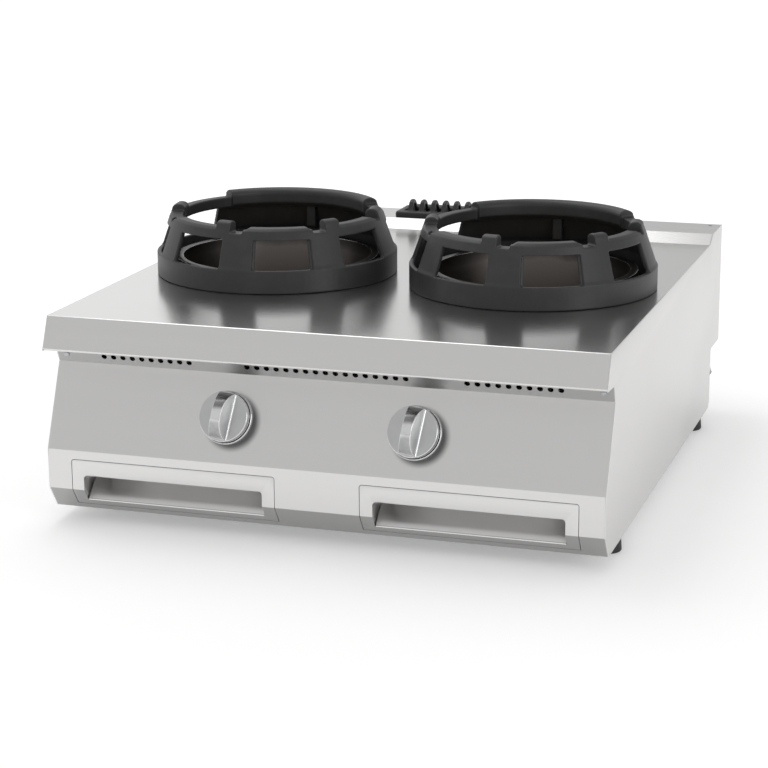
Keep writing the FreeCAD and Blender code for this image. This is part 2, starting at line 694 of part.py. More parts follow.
# ---- Wok ring ------------------------------------------------------------------------------
def cone_r(height):
    """Outer radius of the ring's leaning wall."""
    return RING_SHOULDER_R - RING_LEAN * (height - RING_SHOULDER_H)


def sector(r0, r1, a0, a1, z0, z1):
    return spun([(r0, z0), (r1, z0), (r1, z1), (r0, z1)], a0, a1 - a0)


def wall_line(top):
    return [(RING_R - RING_WALL, 0), (RING_R, 0), (RING_R, RING_SKIRT_H),
            (RING_SHOULDER_R, RING_SHOULDER_H), (cone_r(top), top), (cone_r(top) - RING_WALL, top),
            (RING_SHOULDER_R - RING_WALL, RING_SHOULDER_H), (RING_R - RING_WALL, RING_SKIRT_H)]


def rim_line(top):
    """Section of the rim bar, cut down to top."""
    edge = min(RIM_EDGE, top)
    inner = RIM_INNER_R
    line = [(inner, WINDOW_HEAD), (cone_r(WINDOW_HEAD), WINDOW_HEAD), (cone_r(edge), edge)]
    if top > edge:
        line.append((cone_r(edge) - RIM_BEVEL, top))
    line.append((inner, top))
    return line


def round_back_line(crest_r, top, inner_r, under):
    """Section of a lug or of the hood: outer slope, round crest, inner face."""
    outer = cone_r(LUG_SHOULDER)
    rise = top - LUG_SHOULDER
    line = [(inner_r + RING_WALL, under - RING_WALL), (cone_r(WINDOW_HEAD) - OVERCUT, WINDOW_HEAD),
            (outer, LUG_SHOULDER)]
    for k in range(1, LUG_STEPS + 1):
        a = math.radians(90.0 * k / LUG_STEPS)
        line.append((crest_r + (outer - crest_r) * math.cos(a), LUG_SHOULDER + rise * math.sin(a)))
    for k in range(1, LUG_STEPS + 1):
        a = math.radians(90.0 * k / LUG_STEPS)
        line.append((crest_r - (crest_r - inner_r) * math.sin(a), LUG_SHOULDER + rise * math.cos(a)))
    line.append((inner_r, under))
    return line


def ramp_cutter(low_angle, high_angle, low, high):
    """Block above a slope that climbs from low at one angle to high at the other."""
    middle = math.radians((low_angle + high_angle) / 2)
    out = V(math.cos(middle), math.sin(middle), 0)
    along = V(-math.sin(middle), math.cos(middle), 0)
    radius = (RIM_INNER_R + cone_r(RIM_TOP)) / 2
    half = radius * math.sin(math.radians((high_angle - low_angle) / 2))
    start = out * (LUG_INNER_R - 2 * RING_WALL)
    top = LUG_TOP + RING_WALL
    corners = [start - along * half + V(0, 0, low), start + along * half + V(0, 0, high),
               start + along * half + V(0, 0, top), start - along * half + V(0, 0, top)]
    return polygon_face(corners).extrude(out * (RING_R - LUG_INNER_R))


def wok_ring():
    body = spun(wall_line(WINDOW_HEAD))
    inner = RIM_INNER_R
    outside = RING_R + OVERCUT
    for a0, a1 in SIDE_WINDOWS:
        body = body.cut(sector(inner, outside, a0, a1, WINDOW_SILL, WINDOW_HEAD))
    a0 = WINDOW_CENTRE - WINDOW_HALF
    a1 = WINDOW_CENTRE + WINDOW_HALF
    body = body.cut(sector(inner, outside, a0, a1, WINDOW_SILL, WINDOW_HEAD))
    a0 = WINDOW_CENTRE - WINDOW_REBATE_HALF
    a1 = WINDOW_CENTRE + WINDOW_REBATE_HALF
    rebate = sector(RIM_INNER_R, outside, a0, a1, WINDOW_SILL, WINDOW_HEAD)
    body = body.cut(rebate.cut(spun(leaning_core())))
    rim = spun(rim_line(RIM_TOP))
    for a0, a1 in LEDGES:
        rim = rim.cut(sector(HOOD_INNER_R, RING_R, a0, a1, LEDGE_TOP, LUG_TOP))
    rim = rim.cut(sector(HOOD_INNER_R, RING_R, RAMP[0], RAMP[1], RAMP_HIGH, LUG_TOP))
    for low_angle, high_angle in BEVELS:
        rim = rim.cut(ramp_cutter(low_angle, high_angle, RIM_TOP - BEVEL_DROP, RIM_TOP))
    rim = rim.cut(ramp_cutter(RAMP[1], RAMP[0], RAMP_LOW, RAMP_HIGH))
    pieces = [body, rim]
    pieces.append(spun(wall_line(LUG_SHOULDER), HOOD[0], HOOD[1] - HOOD[0]))
    for a0, a1 in LUGS:
        pieces.append(spun(round_back_line(LUG_CREST_R, LUG_TOP, LUG_INNER_R, LEDGE_TOP), a0, a1 - a0))
    hood = round_back_line(HOOD_CREST_R, HOOD_TOP, HOOD_INNER_R, HOOD_UNDER)
    pieces.append(spun(hood, HOOD[0], HOOD[1] - HOOD[0]))
    rib_outer = cone_r(RIB_TOP) - OVERCUT
    pieces.append(sector(RIB_INNER_R, rib_outer, RIB[0], RIB[1], RING_SHOULDER_H, RIB_TOP))
    ring = joined(pieces)
    ring.translate(V(0, BURNER_Y, WORKTOP_Z + SEAT_GAP))
    return ring


def leaning_core():
    """Solid inside the wall, up to the depth of the front window's rebate."""
    depth = REBATE_DEPTH
    return [(0, 0), (RING_R - depth, 0), (cone_r(WINDOW_SILL) - depth, WINDOW_SILL),
            (cone_r(WINDOW_HEAD) - depth, WINDOW_HEAD), (0, WINDOW_HEAD)]


# ---- Burners -------------------------------------------------------------------------------
def burner_well():
    line = [(WELL_FLANGE_R, SHEET), (WELL_RIM_R, SHEET), (WELL_RIM_R, WELL_RIM_H),
            (WELL_MOUTH_R, WELL_RIM_H),
            (WELL_WALL_R, -WELL_DEPTH), (WELL_HOLE_R, -WELL_DEPTH)]
    well = spun(line + offset_points(line, SHEET)[::-1])
    well.translate(V(BURNER_X, BURNER_Y, WORKTOP_Z))
    for at in well_screw_places():
        well = well.cut(rod(at - V(0, 0, SCREW_LENGTH), V(0, 0, 1), SCREW_R, 2 * SCREW_LENGTH))
    return well


def burner_body():
    """Cast mixing bowl with an open head and the socket of the venturi."""
    top = -HEAD_TOP_DROP
    floor = -BURNER_BOTTOM_DROP
    inside = [(BOWL_FLOOR_R - HEAD_WALL / 2, floor + BURNER_FLOOR),
              (HEAD_R - HEAD_WALL, -BOWL_DROP + BURNER_FLOOR / 2), (HEAD_R - HEAD_WALL, top)]
    outside = [(0, floor), (BOWL_FLOOR_R, floor), (HEAD_R, -BOWL_DROP), (HEAD_R, top)]
    bowl = spun(outside + inside[::-1] + [(0, floor + BURNER_FLOOR)])
    cavity = spun([(0, floor + BURNER_FLOOR)] + inside + [(0, top)])
    boss = rod(V(0, 0, -VENTURI_DROP), V(0, -1, 0), VENTURI_R, BOSS_END)
    bore = rod(V(0, -BOSS_END, -VENTURI_DROP), V(0, 1, 0), VENTURI_R - VENTURI_WALL,
               BOSS_END - BOWL_FLOOR_R / 2)
    body = joined([bowl, boss]).cut(bore).cut(cavity)
    body.translate(V(BURNER_X, BURNER_Y, WORKTOP_Z))
    return body


def burner_cap():
    """Lift-off crown with flame ports round its skirt."""
    seat = -HEAD_TOP_DROP + SEAT_GAP
    inner = CAP_SKIRT_R - BURNER_FLOOR
    cap = spun([(0, seat), (inner, seat), (inner, seat - CAP_SKIRT), (CAP_SKIRT_R, seat - CAP_SKIRT),
                (CAP_SKIRT_R, seat), (CAP_R, seat), (CAP_R - CAP_EDGE_TAPER, -CAP_EDGE_DROP),
                (CAP_R / 2, -CAP_TOP_DROP), (0, -CAP_TOP_DROP)])
    for k in range(PORT_COUNT):
        slot = box(inner - OVERCUT, CAP_R + OVERCUT, -PORT_WIDTH / 2, PORT_WIDTH / 2,
                   seat - CAP_SKIRT, seat + PORT_RISE)
        slot.rotate(V(0, 0, 0), V(0, 0, 1), k * 360.0 / PORT_COUNT)
        cap = cap.cut(slot)
    cap.translate(V(BURNER_X, BURNER_Y, WORKTOP_Z))
    return cap


def venturi():
    """Air and gas mixing tube with a flared mouth towards the front."""
    inside = VENTURI_R - VENTURI_WALL
    flare = VENTURI_END - VENTURI_FLARE
    line = [(inside, BOSS_END), (VENTURI_R, BOSS_END), (VENTURI_R, flare), (VENTURI_MOUTH_R, VENTURI_END),
            (VENTURI_MOUTH_R - VENTURI_WALL, VENTURI_END), (inside, flare)]
    tube = polygon_face([V(r, -d, 0) for r, d in line]).revolve(V(0, 0, 0), V(0, 1, 0), 360)
    tube.translate(V(BURNER_X, BURNER_Y, VENTURI_Z))
    return tube


def injector_front():
    return BURNER_Y - VENTURI_END - INJECTOR_GAP - INJECTOR_LENGTH


def injector():
    """Brass jet on the end of the supply tube, with its nose in the venturi's mouth."""
    y = injector_front()
    body = hexagon(V(BURNER_X, y, VENTURI_Z), V(0, 1, 0), INJECTOR_AF, INJECTOR_LENGTH)
    nose = Part.makeCone(INJECTOR_NOSE_R, INJECTOR_TIP_R, INJECTOR_GAP + VENTURI_WALL,
                         V(BURNER_X, y + INJECTOR_LENGTH, VENTURI_Z), V(0, 1, 0))
    return joined([body, nose])


def injector_bracket():
    """Strap that carries the injector in front of the venturi's mouth, standing on the base."""
    y = injector_front() + INJECTOR_LENGTH / 2
    half = POST_WIDTH / 2
    plate = box(BURNER_X - half, BURNER_X + half, y, y + POST_SHEET, VENTURI_Z - half, VENTURI_Z + half)
    arm = box(BURNER_X - half, INNER_X, y, y + POST_SHEET, VENTURI_Z - half, VENTURI_Z - half / 2)
    tab = box(INNER_X - POST_SHEET, INNER_X, y, y + POST_WIDTH, VENTURI_Z - half, VENTURI_Z - half / 2)
    return joined([plate, arm, tab]).cut(injector())


def burner_bracket():
    """Bar across the bay, with its ends turned down against the divider and the side panel."""
    x0 = DIVIDER_SHEET / 2
    low = BRACKET_TOP - BRACKET_FLANGE
    line = [(INNER_X, low), (INNER_X, BRACKET_TOP), (x0, BRACKET_TOP), (x0, low)]
    section = fold_face(line, BRACKET_SHEET, lambda x, z: V(x, BURNER_Y - BRACKET_WIDTH / 2, z))
    return section.extrude(V(0, BRACKET_WIDTH, 0))


def valve_outlet(side_step, down):
    """Start and second point of a tube leaving the rear of the right-hand valve."""
    start = on_panel(KNOB_X - side_step, -VALVE_REAR, -down)
    return [start, start - NORMAL * TUBE_BEND]


def supply_tube():
    points = valve_outlet(0, 0) + [V(BURNER_X, injector_front() - 2 * TUBE_BEND, VENTURI_Z),
                                   V(BURNER_X, injector_front(), VENTURI_Z)]
    points[1] = points[0] - NORMAL * (2 * TUBE_BEND)
    return tube_along(points, TUBE_R, TUBE_BEND)


def pilot_x():
    return BURNER_X - PILOT_OUT


def pilot_burner():
    z = BRACKET_TOP
    top = WORKTOP_Z - PILOT_TIP_DROP
    stem = rod(V(pilot_x(), BURNER_Y, z), V(0, 0, 1), PILOT_R, top - z)
    foot = hexagon(V(pilot_x(), BURNER_Y, z), V(0, 0, 1), 3 * PILOT_R, PILOT_R)
    outlet = V(pilot_x(), BURNER_Y, z + PILOT_PORT_RISE)
    port = rod(outlet, V(0, -1, 0), PILOT_TUBE_R + PILOT_PORT_WALL, 2 * PILOT_R)
    mouth = box(pilot_x(), pilot_x() + 2 * PILOT_R, BURNER_Y - PILOT_SLOT / 2,
                BURNER_Y + PILOT_SLOT / 2, top - PILOT_R, top + OVERCUT)
    return joined([stem, foot, port]).cut(mouth)


def pilot_tube():
    z = BRACKET_TOP + PILOT_PORT_RISE
    points = valve_outlet(PILOT_PORT_SIDE, 0)
    points.append(V(pilot_x(), injector_front() - TUBE_BEND, z))
    points.append(V(pilot_x(), BURNER_Y - 2 * PILOT_R, z))
    return tube_along(points, PILOT_TUBE_R, TUBE_BEND / 2)


def probe_x():
    return BURNER_X - PROBE_OUT


def thermocouple():
    """Flame probe beside the burner, with its lead back to the valve."""
    y = BURNER_Y - PROBE_FORWARD
    z = BRACKET_TOP
    stem = rod(V(probe_x(), y, z), V(0, 0, 1), PROBE_R, WORKTOP_Z - PROBE_TIP_DROP - z)
    lead_z = z + PROBE_LEAD_RISE
    points = valve_outlet(PROBE_PORT_SIDE, PROBE_PORT_DOWN)
    points += [V(probe_x(), injector_front() - TUBE_BEND, lead_z), V(probe_x(), y, lead_z)]
    return joined([stem, tube_along(points, PROBE_LEAD_R, TUBE_BEND / 2)])


# ---- Controls ------------------------------------------------------------------------------
def gas_valve():
    half = VALVE_SIZE / 2
    back = on_panel(KNOB_X, -VALVE_REAR)
    corners = []
    for sx, sz in ((-1, -1), (1, -1), (1, 1), (-1, 1)):
        corners.append(back + V(sx * half, 0, 0) + PANEL_UP * (sz * half))
    body = polygon_face(corners).extrude(NORMAL * (VALVE_REAR - VALVE_FRONT))
    port_length = MANIFOLD_BELOW - PIPE_BORE_R
    port = rod(on_panel(KNOB_X, -MANIFOLD_BEHIND), -PANEL_UP, VALVE_PORT_R, port_length)
    chamber = rod(on_panel(KNOB_X, -VALVE_FRONT), -NORMAL, VALVE_CHAMBER_R, VALVE_CHAMBER_DEPTH)
    bore_length = SPINDLE_REAR + KNOB_PUSH + OVERCUT
    bore = rod(on_panel(KNOB_X, 0), -NORMAL, SPINDLE_R + SPINDLE_CLEAR, bore_length)
    start = V(KNOB_X - VALVE_SIZE, MANIFOLD.y, MANIFOLD.z)
    pipe = rod(start, V(1, 0, 0), PIPE_R, 2 * VALVE_SIZE)
    return joined([body, port]).cut(chamber).cut(bore).cut(pipe)


def valve_plunger():
    """Thrust collar that the return spring in the valve pushes outwards."""
    start = on_panel(KNOB_X, -PLUNGER_FRONT)
    bore = rod(start + NORMAL * OVERCUT, -NORMAL, SPINDLE_R + SPINDLE_CLEAR,
               PLUNGER_LENGTH + 2 * OVERCUT)
    return rod(start, -NORMAL, PLUNGER_R, PLUNGER_LENGTH).cut(bore)


def valve_spindle():
    return rod(on_panel(KNOB_X, SPINDLE_FRONT), -NORMAL, SPINDLE_R, SPINDLE_FRONT + SPINDLE_REAR)


def knob_bezel():
    outer = rod(on_panel(KNOB_X, 0), NORMAL, BEZEL_R, BEZEL_HEIGHT)
    well = rod(on_panel(KNOB_X, SHEET), NORMAL, KNOB_R + BEZEL_CLEAR, BEZEL_HEIGHT)
    bore = rod(on_panel(KNOB_X, -OVERCUT), NORMAL, BEZEL_BORE_R, BEZEL_HEIGHT)
    return outer.cut(well).cut(bore)


def knob(x):
    """Round skirt with a flat face and a half-moon grip standing up the panel."""
    disc = rod(on_panel(x, KNOB_BACK), NORMAL, KNOB_R, KNOB_FACE - KNOB_BACK)
    depth = KNOB_FACE - KNOB_BACK
    hollow = rod(on_panel(x, KNOB_BACK), NORMAL, KNOB_R - KNOB_WALL, depth - KNOB_WALL)
    hub = rod(on_panel(x, KNOB_BACK), NORMAL, HUB_R, depth - KNOB_WALL / 2)
    disc = joined([disc.cut(hollow), hub])
    half = FIN_LENGTH / 2
    foot_a = on_panel(x, KNOB_FACE - OVERCUT, -half)
    crest = on_panel(x, KNOB_FACE + FIN_HEIGHT)
    foot_b = on_panel(x, KNOB_FACE - OVERCUT, half)
    arc = Part.Arc(foot_a, crest, foot_b).toShape()
    side = Part.Face(Part.Wire([arc, Part.LineSegment(foot_b, foot_a).toShape()]))
    side.translate(V(-FIN_ROOT / 2, 0, 0))
    fin = side.extrude(V(FIN_ROOT, 0, 0))
    for s in (-1, 1):
        root = on_panel(x + s * FIN_ROOT / 2, KNOB_FACE)
        tip = on_panel(x + s * FIN_FRONT / 2, KNOB_FACE + FIN_HEIGHT)
        outside = [root, tip, tip + V(s * FIN_ROOT, 0, 0), root + V(s * FIN_ROOT, 0, 0)]
        wedge = polygon_face([p - PANEL_UP * FIN_LENGTH for p in outside])
        fin = fin.cut(wedge.extrude(PANEL_UP * (2 * FIN_LENGTH)))
    fin.rotate(on_panel(x, 0), NORMAL, -GRIP_TURN)
    bore = rod(on_panel(x, 0), NORMAL, SPINDLE_R, SPINDLE_FRONT)
    return joined([disc, fin]).cut(bore)


# ---- Gas supply ----------------------------------------------------------------------------
def manifold():
    start = V(MANIFOLD_LEFT, MANIFOLD.y, MANIFOLD.z)
    length = INLET_X - INLET_BEND - MANIFOLD_LEFT
    pipe = rod(start, V(1, 0, 0), PIPE_R, length)
    pipe = pipe.cut(rod(start + V(PIPE_R / 2, 0, 0), V(1, 0, 0), PIPE_BORE_R, length))
    for x in (-KNOB_X, KNOB_X):
        pipe = pipe.cut(rod(V(x, MANIFOLD.y, MANIFOLD.z), PANEL_UP, PIPE_BORE_R / 2, PIPE_R + OVERCUT))
    return pipe


def inlet_route():
    drop_y = LOWER_REAR_Y - INLET_DROP_AT
    return [V(INLET_X - INLET_BEND, MANIFOLD.y, MANIFOLD.z), V(INLET_X, MANIFOLD.y, MANIFOLD.z),
            V(INLET_X, drop_y - 2 * INLET_BEND, MANIFOLD.z), V(INLET_X, drop_y, INLET_Z),
            V(INLET_X, LOWER_REAR_Y + INLET_STUB - INLET_THREAD, INLET_Z)]


def inlet_pipe():
    route = inlet_route()
    first = route[0] - V(SWEEP_LEAD, 0, 0)
    radii = [INLET_BEND - SWEEP_LEAD, INLET_BEND / 2, INLET_BEND / 2]
    made = []
    for radius in (PIPE_R, PIPE_BORE_R):
        spine = Part.Wire(path_edges([first] + route[1:], radii))
        section = Part.Wire([Part.Circle(first, V(1, 0, 0), radius).toShape()])
        made.append(spine.makePipeShell([section], True, True))
    lead = box(first.x - OVERCUT, route[0].x, Y_FRONT, Y_REAR, 0, WORKTOP_Z)
    return made[0].cut(made[1]).cut(lead)


def inlet_connector():
    """Threaded end that the gas hose screws onto, with its spanner flats."""
    y = LOWER_REAR_Y + INLET_STUB - INLET_THREAD
    at = V(INLET_X, y, INLET_Z)
    nut = hexagon(at, V(0, 1, 0), INLET_HEX_AF, INLET_THREAD / 2)
    thread = rod(at, V(0, 1, 0), INLET_THREAD_R, INLET_THREAD / 2 + INLET_THREAD)
    bore = rod(at - V(0, OVERCUT, 0), V(0, 1, 0), PIPE_BORE_R, 2 * INLET_THREAD)
    return joined([nut, thread]).cut(bore)


def manifold_posts():
    """Two straps between the drip trays that hold the manifold above the base."""
    made = []
    half = POST_WIDTH / 2
    for x in (-POST_X, POST_X):
        y0 = MANIFOLD.y - half
        y1 = MANIFOLD.y + half
        plate = box(x, x + POST_SHEET, y0, y1, PAN_TOP, MANIFOLD.z + half)
        foot = box(x, x + half, y0, y1, PAN_TOP, PAN_TOP + POST_SHEET)
        hole = rod(V(x - OVERCUT, MANIFOLD.y, MANIFOLD.z), V(1, 0, 0), PIPE_R, POST_WIDTH)
        made.append(joined([plate, foot]).cut(hole))
    return made


# ---- Drip trays ----------------------------------------------------------------------------
def chamfer_y(z):
    """Distance of the front's lower chamfer from the lip, at height z."""
    share = (WORKTOP_Z - FASCIA_DROP - z) / (WORKTOP_Z - FASCIA_DROP - BODY_Z)
    return Y_FRONT + FASCIA_BACK + (CHAMFER_BACK - FASCIA_BACK) * share


def tray_front():
    x0 = TRAY_X0
    x1 = TRAY_X1
    top = TRAY_FRONT_TOP
    low = TRAY_CUT_BOTTOM + TRAY_FOOT_GAP
    y_top = Y_FRONT + FASCIA_BACK
    line = [(y_top, top), lip(FASCIA_BACK, FASCIA_DROP), (chamfer_y(low), low)]
    sheet = folded_x(line, SHEET, x0, x1)
    outline_box = box(x0, x1, Y_FRONT - OVERCUT, Y_FRONT + POCKET_DEPTH, 0, top)
    sheet = sheet.common(rounded_top(outline_box, TRAY_CORNER_R))
    gx0 = x0 + GRIP_INSET_IN
    gx1 = x1 - GRIP_INSET_OUT
    grip_box = box(gx0, gx1, Y_FRONT - OVERCUT, Y_FRONT + POCKET_DEPTH, GRIP_LIP, GRIP_TOP)
    sheet = sheet.cut(rounded_top(grip_box, GRIP_CORNER_R))
    back = Y_FRONT + POCKET_DEPTH
    roof = GRIP_TOP + POCKET_RISE
    outline = [(chamfer_y(GRIP_LIP), GRIP_LIP), (back - POCKET_BELLY, GRIP_LIP + POCKET_BELLY),
               (back, GRIP_TOP - POCKET_BELLY), (back, roof), (y_top + SHEET / 2, roof)]
    pocket = folded_x(outline[::-1], SHEET, gx0 + POCKET_END_GAP, gx1 - POCKET_END_GAP)
    cheek_line = outline + [(y_top + SHEET / 2, WORKTOP_Z - FASCIA_DROP)]
    pieces = [sheet, pocket]
    for x in (gx0 - SHEET, gx1):
        cheek = polygon_face([V(x, y, z) for y, z in cheek_line])
        pieces.append(cheek.extrude(V(SHEET, 0, 0)))
    return joined(pieces)


def tray_box():
    """Open pan behind the tray front."""
    x0 = TRAY_X0 + TRAY_SIDE_INSET
    x1 = TRAY_X1 - TRAY_SIDE_INSET
    y0 = Y_FRONT + POCKET_DEPTH + SHEET
    y1 = y0 + TRAY_LENGTH
    pan = box(x0, x1, y0, y1, TRAY_BOTTOM, TRAY_TOP)
    hollow = box(x0 + TRAY_SHEET, x1 - TRAY_SHEET, y0 + TRAY_SHEET, y1 - TRAY_SHEET,
                 TRAY_BOTTOM + TRAY_SHEET, TRAY_TOP + OVERCUT)
    return pan.cut(hollow)


def tray_runners():
    """Two Z-shaped rails: foot on the base, shelf under the tray, web beside it."""
    y0 = Y_FRONT + CHAMFER_BACK + BOTTOM_FLANGE
    y1 = y0 + TRAY_LENGTH
    made = []
    for inner, away in ((TRAY_X0 + TRAY_SIDE_INSET, -1), (TRAY_X1 - TRAY_SIDE_INSET, 1)):
        face = inner + away * SLIDE_CLEAR
        outer = face + away * SHEET
        tip = inner - away * RUNNER_SHELF
        top = TRAY_BOTTOM - SLIDE_CLEAR
        web = box(min(face, outer), max(face, outer), y0, y1, PAN_TOP, RUNNER_WEB)
        shelf = box(min(tip, outer), max(tip, outer), y0, y1, top - SHEET, top)
        foot = box(min(tip, outer), max(tip, outer), y0, y1, PAN_TOP, PAN_TOP + SHEET)
        made.append(joined([web, shelf, foot]))
    return made


# ---- Flue ----------------------------------------------------------------------------------
def grille_front():
    return Y_REAR - GRILLE_FRONT_FROM_REAR


def flue_fin(x):
    """Cast arch across the grille: high at the front, a lower shelf behind, thinner at its crest."""
    y0 = grille_front() + GRILLE_BAR / 2
    y1 = grille_front() + GRILLE_DEPTH - GRILLE_BAR / 2
    front = y0 + FLUE_CREST_FRONT
    rear = y0 + FLUE_CREST_REAR
    eased = FLUE_FIN_HEIGHT - FLUE_EASE_DROP
    side = [(y0, 0), (y1, 0), (y1, GRILLE_BAR_H), (y1 - FLUE_SHELF_REAR, FLUE_FIN_SHELF),
            (rear + 2 * FLUE_EASE, FLUE_FIN_SHELF), (rear + FLUE_EASE, eased),
            (rear, FLUE_FIN_HEIGHT), (front, FLUE_FIN_HEIGHT), (front - FLUE_EASE, eased),
            (y0, GRILLE_BAR_H)]
    blade = polygon_face([V(-FLUE_FIN_FOOT / 2, y, z) for y, z in side])
    blade = blade.extrude(V(FLUE_FIN_FOOT, 0, 0))
    top = FLUE_FIN_HEIGHT + OVERCUT
    for s in (-1, 1):
        a = s * FLUE_FIN_FOOT / 2
        b = s * FLUE_FIN_CREST / 2
        far = s * FLUE_FIN_FOOT
        wedge = polygon_face([V(a, y0, GRILLE_BAR_H), V(b, y0, top), V(far, y0, top),
                              V(far, y0, GRILLE_BAR_H)])
        blade = blade.cut(wedge.extrude(V(0, y1 - y0, 0)))
    roof = FLUE_FIN_HEIGHT - FLUE_ARCH_WEB
    low_roof = FLUE_FIN_SHELF - FLUE_ARCH_WEB
    under = [(y0 + FLUE_ARCH_LEG, -OVERCUT), (y0 + FLUE_ARCH_LEG, GRILLE_BAR_H), (front, roof),
             (rear, roof), (rear + 2 * FLUE_EASE - FLUE_ARCH_WEB / 2, low_roof),
             (y1 - FLUE_ARCH_LEG, low_roof), (y1 - FLUE_ARCH_LEG, -OVERCUT)]
    arch = polygon_face([V(-FLUE_FIN_FOOT, y, z) for y, z in under])
    blade = blade.cut(arch.extrude(V(2 * FLUE_FIN_FOOT, 0, 0)))
    blade.translate(V(x, 0, 0))
    return blade


def flue_grille():
    y0 = grille_front()
    y1 = y0 + GRILLE_DEPTH
    frame = box(-GRILLE_HALF, GRILLE_HALF, y0, y1, 0, GRILLE_BAR_H)
    rounded = []
    for edge in frame.Edges:
        if edge.BoundBox.ZMax > GRILLE_BAR_H - 0.01:
            rounded.append(edge)
    frame = frame.makeFillet(GRILLE_EDGE_R, rounded)
    half = GRILLE_HALF - GRILLE_BAR
    frame = frame.cut(box(-half, half, y0 + GRILLE_BAR, y1 - GRILLE_BAR,
                          -OVERCUT, GRILLE_BAR_H + OVERCUT))
    pieces = [frame]
    for k in range(FIN_COUNT):
        pieces.append(flue_fin((k - (FIN_COUNT - 1) / 2) * FIN_PITCH))
    for sx in (-1, 1):
        for y in (y0 + GRILLE_BAR + GRILLE_CLEAR, y1 - GRILLE_BAR - GRILLE_CLEAR - SHEET):
            x0 = sx * (FIN_COUNT - 1) / 2 * FIN_PITCH - FLUE_FIN_FOOT / 2
            lug = box(x0, x0 + FLUE_FIN_FOOT, y, y + SHEET, -GRILLE_LUG, GRILLE_BAR_H)
            pieces.append(lug)
    grille = joined(pieces)
    grille.translate(V(0, 0, WORKTOP_Z + RISER_HEIGHT + SEAT_GAP))
    return grille


def flue_duct():
    """Sheet chimney from the burner bays up to the grille."""
    y0 = grille_front() + GRILLE_BAR
    y1 = grille_front() + GRILLE_DEPTH - GRILLE_BAR
    half = GRILLE_HALF - GRILLE_BAR
    top = WORKTOP_Z + RISER_HEIGHT - SHEET
    t = FLUE_SHEET
    shell = box(-half - t, half + t, y0 - t, y1 + t, FLUE_BOTTOM, top)
    return shell.cut(box(-half, half, y0, y1, FLUE_BOTTOM - OVERCUT, top + OVERCUT))


# ---- Build ---------------------------------------------------------------------------------
save("worktop", worktop())
save("riser_cap", riser())
save("front_panel", front_panel())
save("upper_back_panel", upper_back_panel())
save("lower_back_panel", lower_back_panel())
save("base_pan", base_pan())
save("centre_divider", centre_divider())
save("heat_shield", heat_shield())
save("flue_duct", flue_duct())
save("flue_grille", flue_grille())
save("feet", feet())
save("foot_bolts", foot_bolts())
save("band_screws", [screw(at, out) for at, out in band_screw_places()])
save("base_screws", [screw(V(x, y, BODY_Z), V(0, 0, -1)) for x, y in base_screw_places()])
save("well_screws", [screw(at, V(0, 0, 1)) for at in well_screw_places()])
save("gas_manifold", manifold())
save("manifold_posts", manifold_posts())
save("inlet_pipe", inlet_pipe())
save("inlet_connector", inlet_connector())

RIGHT_PIECES = (
    ("side_panel", side_panel), ("burner_well", burner_well), ("burner_body", burner_body),
    ("burner_cap", burner_cap), ("venturi", venturi), ("injector", injector),
    ("injector_bracket", injector_bracket), ("burner_bracket", burner_bracket),
    ("supply_tube", supply_tube), ("pilot_burner", pilot_burner), ("pilot_tube", pilot_tube),
    ("thermocouple", thermocouple), ("gas_valve", gas_valve), ("valve_plunger", valve_plunger),
    ("valve_spindle", valve_spindle), ("knob_bezel", knob_bezel),
    ("tray_front", tray_front), ("tray_box", tray_box))

for piece, make in RIGHT_PIECES:
    built = make()
    for side, word in ((-1, "left"), (1, "right")):
        save(word + "_" + piece, one_sided(side, built))

right_runners = tray_runners()
save("tray_runners", right_runners + [one_sided(-1, runner) for runner in right_runners])

# The two rings are the same casting, and the two knobs the same pressing, so neither is mirrored.
for side, word in ((-1, "left"), (1, "right")):
    save(word + "_knob", knob(side * KNOB_X))
    ring = wok_ring()
    ring.translate(V(side * BURNER_X, 0, 0))
    save(word + "_wok_ring", ring)
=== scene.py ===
"""Looks of a counter-top wok range with two burners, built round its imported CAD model."""

import math

import bmesh
import bpy
from mathutils import Matrix, Vector


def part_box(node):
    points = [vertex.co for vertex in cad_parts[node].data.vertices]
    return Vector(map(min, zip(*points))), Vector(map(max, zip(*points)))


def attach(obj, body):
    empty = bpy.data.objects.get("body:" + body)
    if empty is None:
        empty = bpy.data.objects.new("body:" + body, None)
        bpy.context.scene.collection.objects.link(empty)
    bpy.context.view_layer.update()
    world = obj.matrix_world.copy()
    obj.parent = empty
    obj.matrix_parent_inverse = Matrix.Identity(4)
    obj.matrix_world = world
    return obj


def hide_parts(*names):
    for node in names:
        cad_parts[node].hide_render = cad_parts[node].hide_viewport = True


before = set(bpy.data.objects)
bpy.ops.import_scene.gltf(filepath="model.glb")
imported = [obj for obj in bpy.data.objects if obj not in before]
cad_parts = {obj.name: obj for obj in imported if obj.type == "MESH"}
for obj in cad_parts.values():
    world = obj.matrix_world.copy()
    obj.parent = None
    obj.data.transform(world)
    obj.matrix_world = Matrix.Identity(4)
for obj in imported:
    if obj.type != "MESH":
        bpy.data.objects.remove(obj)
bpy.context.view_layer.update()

MM = 0.001
SIDES = ("left", "right")
KNOB_ON_PANEL = (-0.4110464, 0.1694)


# ---- Camera, at the height and distance the photograph was taken from ----------------------
CAMERA_PLACE = (0.9556, -3.1366, 0.9773)
CAMERA_YAW = -17.63
CAMERA_PITCH = 14.55
CAMERA_ROLL = -0.27
FOCAL_PIXELS = 2207.6
PICTURE_PIXELS = 768
SENSOR_WIDTH = 36.0


